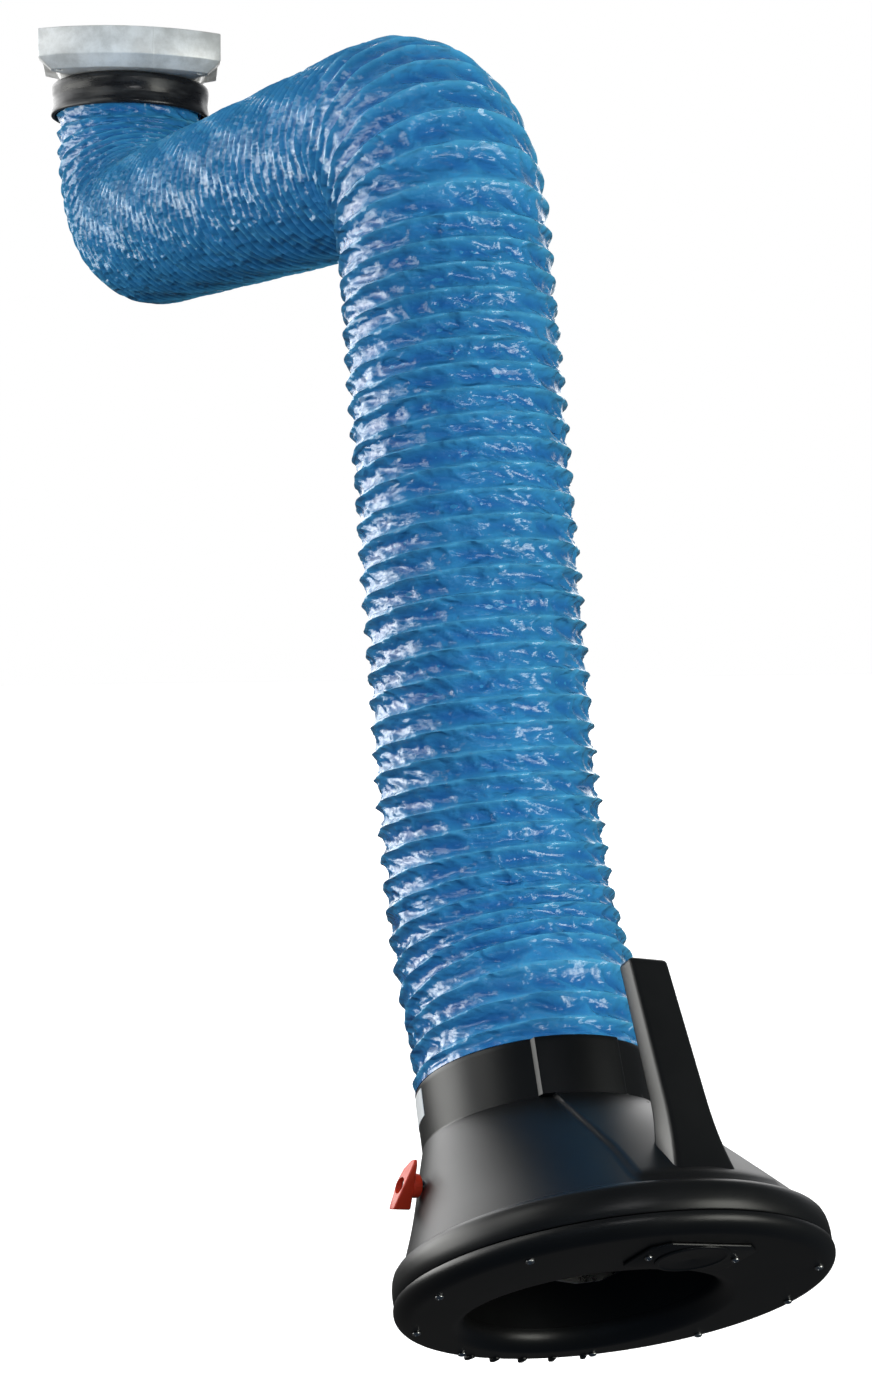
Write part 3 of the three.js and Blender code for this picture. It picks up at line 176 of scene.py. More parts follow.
class Shader:
    """The nodes of a material or a world, and the one way they are made."""

    def __init__(self, owner):
        owner.use_nodes = True
        self.owner = owner
        self.tree = owner.node_tree

    def node(self, kind, settings=None, inputs=None, output=0):
        made = self.tree.nodes.new(kind)
        for key, value in (settings or {}).items():
            setattr(made, key, value)
        for key, value in (inputs or {}).items():
            self.feed(made.inputs[key], value)
        return Value(self, made.outputs[output])

    def feed(self, socket, value):
        if isinstance(value, Value):
            self.tree.links.new(value.socket, socket)
        elif socket.type == "RGBA":
            socket.default_value = (*value, 1.0)
        else:
            socket.default_value = value

    def surface(self, **inputs):
        principled = self.tree.nodes["Principled BSDF"]
        for key, value in inputs.items():
            self.feed(principled.inputs[key.replace("_", " ").title().replace("Ior", "IOR")], value)
        return self.owner

    def place(self, output="Object"):
        return self.node("ShaderNodeTexCoord", output=output)

    def axis(self, vector, which):
        return self.node("ShaderNodeSeparateXYZ", inputs={0: vector}, output=which)

    def drawn(self, **inputs):
        """Places on the piece, scaled or turned."""
        return self.node("ShaderNodeMapping", inputs={"Vector": self.place(), **inputs})

    def noise(self, scale, detail, roughness=0.55, vector=None):
        inputs = {"Vector": vector or self.place(), "Scale": scale, "Detail": detail, "Roughness": roughness}
        return self.node("ShaderNodeTexNoise", inputs=inputs)

    def spread(self, value, low, high, start=0.0, end=1.0):
        inputs = {"Value": value, "From Min": low, "From Max": high, "To Min": start, "To Max": end}
        return self.node("ShaderNodeMapRange", {"interpolation_type": "SMOOTHSTEP"}, inputs)

    def mix(self, amount, a, b):
        return self.node("ShaderNodeMix", {"data_type": "RGBA"}, {0: amount, 6: a, 7: b}, output=2)

    def mottled(self, scale, detail, dark, pale, **inputs):
        return self.surface(base_color=self.mix(self.noise(scale, detail), dark, pale), **inputs)

    def bump(self, height, strength, distance):
        return self.node("ShaderNodeBump", inputs={"Height": height, "Strength": strength, "Distance": distance})


finishes = {}


def finish(make):
    """The material that a maker gives, made once."""
    name = make.__name__
    if name not in finishes:
        finishes[name] = make(Shader(bpy.data.materials.new(name)))
    return finishes[name]


def shade(colour, amount):
    return tuple(min(1.0, c * amount) for c in colour)


def hose_skin(shader):
    colour = tuple(bpy.context.scene.arm_hose.colour)
    cloudy = shader.noise(14.0, 4.0)
    fine = shader.noise(260.0, 2.0)
    drawn = shader.drawn(Scale=(1.0, 1.0, 1.8))
    folds = 1.0 - abs(shader.noise(42.0, 1.5, 0.5, drawn) - 0.5) * 5.0
    crinkle = shader.noise(90.0, 3.0, vector=drawn)
    crest_highlight_and_wear = shader.node("ShaderNodeAttribute", {"attribute_name": "crest"}, output=2)
    valley_shade = shader.node("ShaderNodeAttribute", {"attribute_name": "valley"}, output=2)
    tone = shader.mix(shader.spread(cloudy, 0.3, 0.7), shade(colour, 0.88), shade(colour, 1.12))
    # Painted shade: the skin is darkened towards deep navy in the sag and folds between the turns of wire
    tone = shader.mix(valley_shade * 0.65, tone, (0.006, 0.068, 0.29))
    # Painted highlight and wear: the skin over each turn of wire is painted paler blue
    tone = shader.mix(crest_highlight_and_wear * 0.6, tone, (0.10, 0.42, 0.66))
    height = shader.spread(folds, 0.0, 1.0) * 0.9 + crinkle * 0.7 + fine * 0.03
    return shader.surface(
        base_color=tone,
        roughness=shader.spread(cloudy, 0.25, 0.75, 0.15, 0.24),
        normal=shader.bump(height, 0.85, 0.0022),
        coat_weight=0.35, coat_roughness=0.08, specular_ior_level=0.55)


def hood_plastic(shader):
    colour = tuple(bpy.context.scene.arm_hood.colour)
    cloudy = shader.noise(9.0, 4.0)
    grain = shader.noise(1400.0, 2.0)
    scuff = shader.noise(70.0, 5.0, 0.7)
    tone = shader.mix(shader.spread(cloudy, 0.3, 0.7), colour, shade(colour, 1.5))
    rough = shader.spread(cloudy, 0.25, 0.75, 0.33, 0.39) + shader.spread(scuff, 0.62, 0.78, 0.0, 0.05)
    return shader.surface(
        base_color=tone, roughness=rough, normal=shader.bump(grain, 0.1, 0.0003), specular_ior_level=0.36)


def cuff_rubber(shader):
    streak = shader.noise(22.0, 5.0, 0.6, shader.drawn(Scale=(1.0, 1.0, 5.0)))
    dust = shader.noise(120.0, 4.0)
    tone = shader.mix(shader.spread(streak, 0.4, 0.75), (0.008, 0.008, 0.009), (0.028, 0.029, 0.031))
    return shader.surface(
        base_color=tone, roughness=shader.spread(streak, 0.3, 0.7, 0.22, 0.42),
        normal=shader.bump(dust * 0.4 + streak, 0.25, 0.001))


def cast_aluminium(shader):
    colour = tuple(bpy.context.scene.arm_flange.colour)
    square = shader.drawn(Rotation=(0.0, 0.0, -FLANGE_TURN))
    line = 1.0 - shader.spread(abs(shader.axis(square, 1) - 0.026), 0.0003, 0.0011)
    cloudy = shader.noise(24.0, 5.0, 0.65)
    grit = shader.noise(420.0, 3.0)
    tone = shader.mix(shader.spread(cloudy, 0.35, 0.7), shade(colour, 0.78), shade(colour, 1.25))
    tone = shader.mix(line * 0.6, tone, (0.82, 0.82, 0.80))
    return shader.surface(
        base_color=tone, metallic=0.3, roughness=shader.spread(cloudy, 0.3, 0.7, 0.32, 0.48),
        normal=shader.bump(grit * 0.5 + cloudy + line * 2.0, 0.2, 0.0008))


def arm_aluminium(shader):
    brushed = shader.noise(12.0, 3.0, vector=shader.drawn(Scale=(4.0, 60.0, 60.0)))
    tone = shader.mix(brushed, (0.46, 0.47, 0.48), (0.62, 0.63, 0.64))
    return shader.surface(base_color=tone, metallic=1.0, roughness=shader.spread(brushed, 0.2, 0.8, 0.28, 0.42))


def zinc_steel(shader):
    spangle = shader.noise(160.0, 2.0)
    tone = shader.mix(spangle, (0.42, 0.43, 0.44), (0.60, 0.60, 0.58))
    return shader.surface(base_color=tone, metallic=1.0, roughness=shader.spread(spangle, 0.2, 0.8, 0.22, 0.4))


def bearing_nylon(shader):
    return shader.mottled(60.0, 2.0, (0.66, 0.65, 0.60), (0.78, 0.77, 0.73), roughness=0.5)


def friction_lining(shader):
    return shader.mottled(700.0, 3.0, (0.03, 0.022, 0.016), (0.11, 0.085, 0.06), roughness=0.85)


def knob_plastic(shader):
    colour = tuple(bpy.context.scene.arm_hood.knob_colour)
    cloudy = shader.noise(45.0, 3.0)
    grain = shader.noise(1500.0, 2.0)
    tone = shader.mix(cloudy, shade(colour, 0.8), shade(colour, 1.15))
    return shader.surface(
        base_color=tone, roughness=shader.spread(cloudy, 0.2, 0.8, 0.34, 0.46),
        normal=shader.bump(grain, 0.15, 0.0003))


def blank_label(shader):
    return shader.mottled(120.0, 2.0, (0.70, 0.71, 0.71), (0.80, 0.81, 0.81), roughness=0.35)


def pale_floor(shader):
    colour = tuple(bpy.context.scene.arm_stage.floor_colour)
    return shader.mottled(
        0.8, 2.0, shade(colour, 0.98), colour,
        roughness=0.85, emission_color=(1.0, 1.0, 1.0), emission_strength=0.55)


def studio_world(shader):
    """A bright wall behind to the left, a dim cool room elsewhere; white where the camera sees it."""
    way = shader.place("Generated")
    rise = shader.axis(way, 2)
    wall = shader.axis(way, 0) * -0.974 + shader.axis(way, 1) * -0.225
    above = shader.spread(rise, -0.08, 0.15) * shader.spread(rise, 0.30, 0.65, 1.0, 0.05)
    glow = shader.spread(wall, 0.10, 0.85) * above
    seen = shader.node("ShaderNodeLightPath", output="Is Camera Ray")
    background = shader.tree.nodes["Background"]
    room = shader.mix(shader.spread(wall, -0.2, 0.5), (0.45, 0.66, 1.0), (1.0, 1.0, 1.0))
    shader.feed(background.inputs["Color"], shader.mix(seen, room, (1.0, 1.0, 1.0)))
    shader.feed(background.inputs["Strength"], seen + (1.0 - seen) * (glow * 3.0 + 0.05))
    return shader.owner


SLOTS = {make.__name__: make for make in (
    cast_aluminium, arm_aluminium, zinc_steel, bearing_nylon,
    cuff_rubber, hood_plastic, knob_plastic, friction_lining,
)}
SLOTS["hose_pvc"] = hose_skin


# Mesh helpers

def add_piece(name, bm, slot, body=None, node=None, sharp=35.0, make=None):
    """Makes a piece that rides on a body and stands for a node, in its slot's finish or another."""
    for face in bm.faces:
        face.smooth = True
    for edge in bm.edges:
        edge.smooth = edge.calc_face_angle(0.0) < math.radians(sharp)
    mesh = bpy.data.meshes.new(name)
    bm.to_mesh(mesh)
    bm.free()
    mesh.materials.clear()
    mesh.materials.append(finish(make or SLOTS[slot]))
    made = bpy.data.objects.new(name, mesh)
    bpy.context.scene.collection.objects.link(made)
    if node:
        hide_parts(node)
    if body:
        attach(made, body)
    return made


def move(bm, matrix):
    bmesh.ops.transform(bm, matrix=matrix, verts=bm.verts)


def face_out(bm):
    bmesh.ops.recalc_face_normals(bm, faces=bm.faces)


def add_hood_piece(name, bm, node=None, sharp=40.0):
    """Adds a mesh made in the hood's frame, in the hood's black plastic."""
    move(bm, HOOD)
    add_piece(name, bm, "hood_plastic", "hood", node, sharp)


def loop_edges(verts):
    chosen = set(verts)
    return list({e for v in verts for e in v.link_edges if e.other_vert(v) in chosen})


def ring_stack(bm, count, segments):
    """A closed sleeve of unit circles, bridged one to the next and the last to the first."""
    rings = []
    for i in range(count):
        made = bmesh.ops.create_circle(bm, radius=1.0, segments=segments, matrix=Matrix.Translation((0, 0, i)))
        rings.append(made["verts"])
    edges = [loop_edges(ring) for ring in rings]
    for near, far in zip(edges, edges[1:] + edges[:1]):
        bmesh.ops.bridge_loops(bm, edges=near + far)
    return rings


def ring_loft(bm, stations, segments):
    """Circles of (shift, radius, height), each bridged to the next."""
    rings = ring_stack(bm, len(stations), segments)
    for ring, (shift, radius, z) in zip(rings, stations):
        for vert in ring:
            vert.co = Vector((shift + radius * vert.co.x, radius * vert.co.y, z))
    face_out(bm)
    return rings


def turned(profile, steps, place=Matrix.Identity(4)):
    """A closed profile of (radius, height) spun about Z."""
    bm = bmesh.new()
    verts = [bm.verts.new((r, 0.0, z)) for r, z in profile]
    edges = [bm.edges.new((a, b)) for a, b in zip(verts, verts[1:] + verts[:1])]
    bmesh.ops.spin(bm, geom=verts + edges, cent=(0, 0, 0), axis=(0, 0, 1),
                   angle=2 * math.pi, steps=steps, use_merge=True)
    bmesh.ops.remove_doubles(bm, verts=bm.verts, dist=MERGE)
    face_out(bm)
    move(bm, place)
    return bm


def band(bore, radius, start, end):
    """The square profile of a ring or a disc, to be spun."""
    return [(bore, start), (radius, start), (radius, end), (bore, end)]


def prism(bm, outline, near, far):
    """A flat outline of (x, y) drawn out along Z; gives the far end's vertices."""
    face = bm.faces.new([bm.verts.new((x, y, near)) for x, y in outline])
    made = bmesh.ops.extrude_face_region(bm, geom=[face])
    ends = [part for part in made["geom"] if isinstance(part, bmesh.types.BMVert)]
    bmesh.ops.translate(bm, vec=(0.0, 0.0, far - near), verts=ends)
    face_out(bm)
    return ends


def bevel(bm, edges, offset, segments=3):
    return bmesh.ops.bevel(bm, geom=edges, offset=offset, offset_type="OFFSET", segments=segments, profile=0.5,
                           affect="EDGES", material=-1)


def block(bm, size, place, edge):
    """A box with rounded edges."""
    made = bmesh.ops.create_cube(bm, size=1.0)["verts"]
    bmesh.ops.scale(bm, vec=size, verts=made)
    edges = list({e for v in made for e in v.link_edges})
    shaped = bevel(bm, edges, edge)
    bmesh.ops.transform(bm, matrix=place, verts=list({v for f in shaped["faces"] for v in f.verts}))


def round_edges(bm, degrees, offset, segments=3):
    """Rounds each edge that turns by more than the given angle."""
    edges = [e for e in bm.edges if len(e.link_faces) == 2 and e.calc_face_angle(0.0) > math.radians(degrees)]
    bevel(bm, edges, offset, segments)


def rounded(points, offset, segments=3):
    """A closed profile with its corners cut round."""
    made = []
    count = len(points)
    for i, corner in enumerate(points):
        here = Vector(corner)
        before = Vector(points[i - 1])
        after = Vector(points[(i + 1) % count])
        reach = min(offset, 0.45 * (before - here).length, 0.45 * (after - here).length)
        start = here + (before - here).normalized() * reach
        end = here + (after - here).normalized() * reach
        for k in range(segments + 1):
            t = k / segments
            made.append(tuple(start * (1 - t) ** 2 + here * 2 * t * (1 - t) + end * t ** 2))
    return made


def carved(bm, cutter):
    """The shape with another cut out of it."""
    shapes = []
    for part in (bm, cutter):
        mesh = bpy.data.meshes.new("shape")
        part.to_mesh(mesh)
        part.free()
        shapes.append(bpy.data.objects.new("shape", mesh))
        bpy.context.scene.collection.objects.link(shapes[-1])
    cut = shapes[0].modifiers.new("cut", "BOOLEAN")
    cut.solver = "EXACT"
    cut.object = shapes[1]
    bpy.context.view_layer.update()
    made = bmesh.new()
    made.from_object(shapes[0], bpy.context.evaluated_depsgraph_get())
    for part in shapes:
        bpy.data.objects.remove(part)
    return made


def smoothstep(low, high, value):
    t = np.clip((value - low) / (high - low), 0.0, 1.0)
    return t * t * (3 - 2 * t)


# The hose's route: down from the collar, round the shoulder and elbow, and square onto the neck

HOSE_TOP = -48.3 * MM
HOSE_BORE = 77.2 * MM
SHOULDER = np.array((0.0, 0.0, -211.3)) * MM
SHOULDER_BEND = 128 * MM
ELBOW = np.array((916.5, 0.0, -263.8)) * MM
ELBOW_BEND = 119.7 * MM
LOWER_LEAN = math.radians(2.82)
LOWER_REACH = 181.3 * MM
HOOD_LEAD = 130 * MM
HOOD_TRAIL = 35 * MM
NECK_RUN = 45 * MM

# Where its stretches meet: past the shoulder's bend, each side of the elbow, and above the hood's joint
SHOULDER_STRETCH = 0.140
ELBOW_STRETCH = 0.260
LOWER_STRETCH = 0.385
HOOD_STRETCH = 0.090

# Its skin: the bead over the wire, the swell and the tight end at the neck, and the lining's grid
WIRE_REACH = 0.0012
END_SWELL = 2.2 * MM
SWELL_START, SWELL_FULL = 0.26, 0.06
TIGHT_END = 0.010
LINING_COLUMNS = 48
LINING_STEP = 0.02


def hose_route():
    """Points along the hose, its length at each, and the lengths where its stretches meet."""
    joint = np.array(HOOD.translation)
    neck_way = np.array(HOOD.to_3x3() @ Vector((0.0, 0.0, -1.0)))
    upper_way = (ELBOW - SHOULDER) / np.linalg.norm(ELBOW - SHOULDER)
    drop = math.atan2(-upper_way[2], upper_way[0])
    to_hood = joint - ELBOW
    tilt = math.atan2(to_hood[0], -to_hood[2]) - LOWER_LEAN
    lower_way = np.array((math.sin(tilt), 0.0, -math.cos(tilt)))
    lower_end = ELBOW + lower_way * (np.linalg.norm(to_hood) - LOWER_REACH)
    shoulder_turn = math.pi / 2 - drop
    shoulder_cut = SHOULDER_BEND * math.tan(shoulder_turn / 2)
    elbow_cut = ELBOW_BEND * math.tan((math.pi / 2 - drop - tilt) / 2)

    def straight(a, b):
        return a + (b - a) * np.linspace(0, 1, 400)[:, None]

    def arc(centre, radius, start, end):
        angle = np.linspace(start, end, 800)
        return centre + radius * np.stack((np.cos(angle), np.zeros_like(angle), np.sin(angle)), 1)

    def curve(*controls):
        t = np.linspace(0, 1, 800)[:, None]
        return sum(c * k * (1 - t) ** (3 - i) * t ** i for i, (c, k) in enumerate(zip(controls, (1, 3, 3, 1))))

    bend_start = SHOULDER + np.array((0.0, 0.0, shoulder_cut))
    bend_centre = bend_start + np.array((SHOULDER_BEND, 0.0, 0.0))
    upper_end = ELBOW - upper_way * elbow_cut
    elbow_centre = upper_end + np.array((upper_way[2], 0.0, -upper_way[0])) * ELBOW_BEND
    runs = [
        straight(np.array((0.0, 0.0, HOSE_TOP)), bend_start),
        arc(bend_centre, SHOULDER_BEND, math.pi, math.pi + shoulder_turn),
        straight(SHOULDER + upper_way * shoulder_cut, upper_end),
        arc(elbow_centre, ELBOW_BEND, math.pi / 2 - drop, tilt),
        straight(ELBOW + lower_way * elbow_cut, lower_end),
        curve(lower_end, lower_end + lower_way * HOOD_LEAD, joint - neck_way * HOOD_TRAIL, joint),
        straight(joint, joint + neck_way * NECK_RUN),
    ]
    lengths = np.cumsum([np.linalg.norm(np.diff(run, axis=0), axis=1).sum() for run in runs])
    points = np.concatenate([runs[0]] + [run[1:] for run in runs[1:]])
    along = np.concatenate(([0.0], np.cumsum(np.linalg.norm(np.diff(points, axis=0), axis=1))))
    points[:, 1] += HOSE_DRIFT * smoothstep(lengths[3], lengths[5], along)
    cuts = [
        0.0,
        lengths[1] + SHOULDER_STRETCH,
        lengths[2] - ELBOW_STRETCH + elbow_cut,
        lengths[3] + ELBOW_STRETCH - elbow_cut,
        lengths[3] + LOWER_STRETCH - elbow_cut,
        along[-1] - HOOD_STRETCH - NECK_RUN,
        along[-1],
    ]
    return points, along, cuts


class Route:
    """Places on the hose by the length along it."""

    def __init__(self):
        self.points, self.along, self.cuts = hose_route()
        ways = np.gradient(self.points, self.along, axis=0)
        self.ways = ways / np.linalg.norm(ways, axis=1)[:, None]
        self.total = self.along[-1]

    def between(self, table, station):
        return np.stack([np.interp(station, self.along, table[:, i]) for i in range(3)], -1)

    def frame(self, station):
        """Centre, and the two directions across the hose, at each station."""
        centre = self.between(self.points, station)
        way = self.between(self.ways, station)
        way /= np.linalg.norm(way, axis=1)[:, None]
        across = np.array((0.0, 1.0, 0.0)) - way * way[:, 1:2]
        across /= np.linalg.norm(across, axis=1)[:, None]
        return centre, across, np.cross(way, across)

    def place(self, station, turn, radius):
        centre, across, rise = self.frame(station)
        return centre + across * (radius * np.cos(turn))[:, None] + rise * (radius * np.sin(turn))[:, None]

    def at(self, station):
        return Vector(self.between(self.points, station))


def skin_height(settings, route, station, turn):
    """Radius of the hose's skin, and how near each point is to the wire or to the valley."""
    phase = station / settings.pitch - turn / (2 * math.pi)
    rib = np.floor(phase)
    part = phase - rib
    fallen = 4 * part * (1 - part)
    apart = np.minimum(part, 1 - part) * settings.pitch
    crest = np.exp(-((apart / WIRE_REACH) ** 2))
    creases = np.empty_like(part)
    flutter = np.empty_like(part)
    slant = turn + 0.30 * part
    for i in range(len(part)):
        x = math.cos(slant[i])
        y = math.sin(slant[i])
        fold = noise.noise(Vector((x * 4.2, y * 4.2, rib[i] * 37.3 + part[i] * 0.9)))
        creases[i] = 1.0 - min(1.0, abs(fold) * 3.2)
        flutter[i] = noise.noise(Vector((x * 2.6 + 9.0, y * 2.6, rib[i] * 1.7 + part[i] * 0.4)))
    left = route.total - station
    slack = smoothstep(0.0, TIGHT_END, left)
    between = np.clip(fallen * 1.5, 0.0, 1.0)
    swell = END_SWELL * smoothstep(SWELL_START, SWELL_FULL, left)
    height = settings.radius - settings.bead + swell + settings.bead * crest
    height -= settings.sag * slack * fallen ** 0.8 * (1.0 + 0.35 * flutter)
    height += settings.wrinkle * slack * between * (creases ** 2 * 0.75 + 0.35 * flutter - 0.25)
    return height, crest, fallen ** 2 * (1.0 - 0.7 * creases)


def rolled_grid(bm, columns, rows, start, end):
    """A flat grid and the station and turn that each of its points goes to."""
    verts = bmesh.ops.create_grid(bm, x_segments=columns, y_segments=rows, size=0.5)["verts"]
    flat = np.array([vert.co for vert in verts]) + 0.5
    turn = np.where(flat[:, 0] > 1 - MERGE, 0.0, flat[:, 0]) * 2 * math.pi
    return verts, start + flat[:, 1] * (end - start), turn


def hose_stretch(route, settings, start, end):
    """One stretch of hose: a grid rolled round the route, with a plain lining."""
    bm = bmesh.new()
    layers = [bm.verts.layers.float.new(name) for name in ("crest", "valley")]
    rows = max(8, round((end - start) / settings.step))
    verts, station, turn = rolled_grid(bm, settings.columns, rows, start, end)
    height, *marks = skin_height(settings, route, station, turn)
    for i, (vert, co) in enumerate(zip(verts, route.place(station, turn, height))):
        vert.co = co
        for layer, mark in zip(layers, marks):
            vert[layer] = mark[i]
    rows = max(2, round((end - start) / LINING_STEP))
    lining, station, turn = rolled_grid(bm, LINING_COLUMNS, rows, start, end)
    for vert, co in zip(lining, route.place(station, turn, np.full_like(turn, HOSE_BORE))):
        vert.co = co
    bmesh.ops.remove_doubles(bm, verts=bm.verts, dist=MERGE)
    rims = [edge for edge in bm.edges if edge.is_boundary]
    first, last = route.at(start), route.at(end)
    for near, far in ((first, last), (last, first)):
        chosen = [e for e in rims if (e.verts[0].co - near).length < (e.verts[0].co - far).length]
        bmesh.ops.bridge_loops(bm, edges=chosen)
    face_out(bm)
    return bm


# Operators

class ARM_OT_hose(bpy.types.Operator):
    """Makes the wire-wound hose in stretches along its route round the arm's joints"""
    bl_idname = "arm.hose"
    bl_label = "Hose"

    def execute(self, context):
        settings = context.scene.arm_hose
        route = Route()
        # Each stretch's node, its body, the body at its far end, and the lengths that stay with each of them
        stretches = [
            ("hose_shoulder", "swivel", "upper_arm", 0.094, 0.048),
            ("hose_upper", "upper_arm", None, 0.0, 0.0),
            ("hose_elbow", "upper_arm", "lower_arm", 0.056, 0.052),
            ("hose_lower", "lower_arm", None, 0.0, 0.0),
            ("hose_hood_upper", "lower_arm", "hood_joint", 0.085, 0.004),
            ("hose_hood_lower", "hood_joint", "hood", 0.016, 0.045),
        ]
        for (node, body, far_body, lead, trail), start, end in zip(stretches, route.cuts, route.cuts[1:]):
            bm = hose_stretch(route, settings, start, end)
            made = add_piece(node + "_skin", bm, "hose_pvc", None if far_body else body, node, 80.0)
            if far_body:
                first, last = route.at(start), route.at(end)
                way = (last - first).normalized()
                first + way * lead
                last - way * trail
                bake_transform(made)
        return {"FINISHED"}


class ARM_OT_flange(bpy.types.Operator):
    """Makes the cast duct flange with its tapered, pocketed underside and its thinner back"""
    bl_idname = "arm.flange"
    bl_label = "Flange"

    half_width = 0.100
    half_length = 0.115
    arc_radius = 0.212
    bore_radius = 0.0764
    seat_radius = 0.090
    seat_depth = 0.012
    back_thinning = 0.62
    pocket_front = 0.085
    pockets = ((-0.034, 0.012), (0.030, 0.076))
    bolt_place = 0.078
    bolt_radius = 0.0045
    bolt_chamfer = 0.0032
    overcut = 0.002

    def outline(self, ring, inset, z):
        """Sends a unit circle's points out to two arcs and two flats."""
        half = self.half_width - inset
        radius = self.arc_radius - inset
        centre = self.half_length - self.arc_radius
        corner = Vector((centre + math.sqrt(radius ** 2 - half ** 2), half))
        for vert in ring:
            x, y = abs(vert.co.x), abs(vert.co.y)
            along = centre * x + math.sqrt((centre * x) ** 2 - centre ** 2 + radius ** 2)
            place = Vector((x, y)) * min(along, half / max(y, 1e-9))
            if abs(math.atan2(y, x) - math.atan2(corner.y, corner.x)) < math.pi / len(ring):
                place = corner
            x = math.copysign(place.x, vert.co.x)
            thin = self.back_thinning * float(smoothstep(0.075, 0.005, x))
            vert.co = Vector((x, math.copysign(place.y, vert.co.y), z * (1 - thin)))

    def bolt_holes(self, bottom):
        """Four chamfered holes, as a shape to cut away."""
        top, end = self.overcut, bottom - self.overcut
        radius = self.bolt_radius
        wide = radius + self.bolt_chamfer
        profile = [(AXIS, top), (wide, top), (radius, top - self.bolt_chamfer), (radius, end), (AXIS, end)]
        holes = bmesh.new()
        for x in (-self.bolt_place, self.bolt_place):
            for y in (-self.bolt_place, self.bolt_place):
                hole = turned(profile, 40, Matrix.Translation((x, y, 0.0)))
                mesh = bpy.data.meshes.new("hole")
                hole.to_mesh(mesh)
                hole.free()
                holes.from_mesh(mesh)
                bpy.data.meshes.remove(mesh)
        return holes

    def execute(self, context):
        settings = context.scene.arm_flange
        bottom = -settings.rim - settings.taper
        outlines = [(0.0, 0.0), (0.0, -settings.rim), (settings.taper_inset, bottom)]
        bore, seat, step = self.bore_radius, self.seat_radius, -self.seat_depth
        bores = [(bore, bottom), (bore, step), (seat, step), (seat, 0.0)]
        bm = bmesh.new()
        rings = ring_stack(bm, len(outlines) + len(bores), 128)
        for ring, (inset, z) in zip(rings, outlines):
            self.outline(ring, inset, z)
        for ring, (radius, z) in zip(rings[len(outlines):], bores):
            for vert in ring:
                vert.co = Vector((radius * vert.co.x, radius * vert.co.y, z))
        face_out(bm)
        sloping = [f for f in bm.faces if -0.8 < f.normal.z < -0.15]
        sloping = [f for f in sloping if f.calc_center_median().x > self.pocket_front]
        for low, high in self.pockets:
            pocket = [f for f in sloping if low < f.calc_center_median().y < high]
            for thickness, depth in ((0.0022, 0.0), (0.0012, -0.0045)):
                bmesh.ops.inset_region(bm, faces=pocket, thickness=thickness, depth=depth, use_even_offset=True)
        round_edges(bm, 40, settings.edge)
        bm = carved(bm, self.bolt_holes(bottom))
        move(bm, FLANGE)
        add_piece("flange_casting", bm, "cast_aluminium", "bracket", "mounting_flange", 30.0)
        return {"FINISHED"}


class ARM_OT_collar(bpy.types.Operator):
    """Makes the bearing ring, the swivel collar and the rubber cuff"""
    bl_idname = "arm.collar"
    bl_label = "Collar and cuff"

    lip_radius = 0.0885
    lip_top, lip_end = -0.003, -0.009
    spigot_end = -0.090
    boss_size = (0.036, 0.0185, 0.010)
    boss_reach, boss_height = 0.0634, -0.067
    washer_bore = 0.0772
    washer_top, washer_end = -0.0094, -0.0116
    cuff = (
        (0.0768, -0.0425), (0.0840, -0.0424), (0.0870, -0.0432), (0.0886, -0.0455),
        (0.0893, -0.0490), (0.0888, -0.0535), (0.0879, -0.0590), (0.0876, -0.0640),
        (0.0884, -0.0690), (0.0895, -0.0725), (0.0897, -0.0752), (0.0890, -0.0772),
        (0.0872, -0.0780), (0.0855, -0.0775), (0.0852, -0.0490), (0.0768, -0.0482),
    )
    cuff_outside = 0.086

    def execute(self, context):
        profile = [
            (SPIGOT_BORE, self.spigot_end), (SPIGOT_RADIUS, self.spigot_end), (SPIGOT_RADIUS, self.lip_end),
            (self.lip_radius, self.lip_end), (self.lip_radius, self.lip_top), (SPIGOT_BORE, self.lip_top),
        ]
        bm = turned(rounded(profile, 0.0008), 96)
        for side in (-1, 1):
            place = Matrix.Translation((0.0, side * self.boss_reach, self.boss_height))
            block(bm, self.boss_size, place, 0.001)
        add_piece("collar_spigot", bm, "cast_aluminium", "swivel", "swivel_collar", 30.0)

        profile = band(self.washer_bore, self.lip_radius, self.washer_end, self.washer_top)
        bm = turned(rounded(profile, 0.0004), 96)
        add_piece("bearing_washer", bm, "bearing_nylon", "bracket", "bearing_ring", 30.0)

        bm = turned(rounded(self.cuff, 0.0008, 2), 144)
        for vert in bm.verts:
            if vert.co.xy.length > self.cuff_outside:
                wave = noise.noise(vert.co * 22.0) * 0.0011 + noise.noise(vert.co * 60.0) * 0.0004
                vert.co += Vector((vert.co.x, vert.co.y, 0.0)).normalized() * wave
        add_piece("cuff_sleeve", bm, "cuff_rubber", "swivel", "rubber_cuff", 50.0)
        return {"FINISHED"}


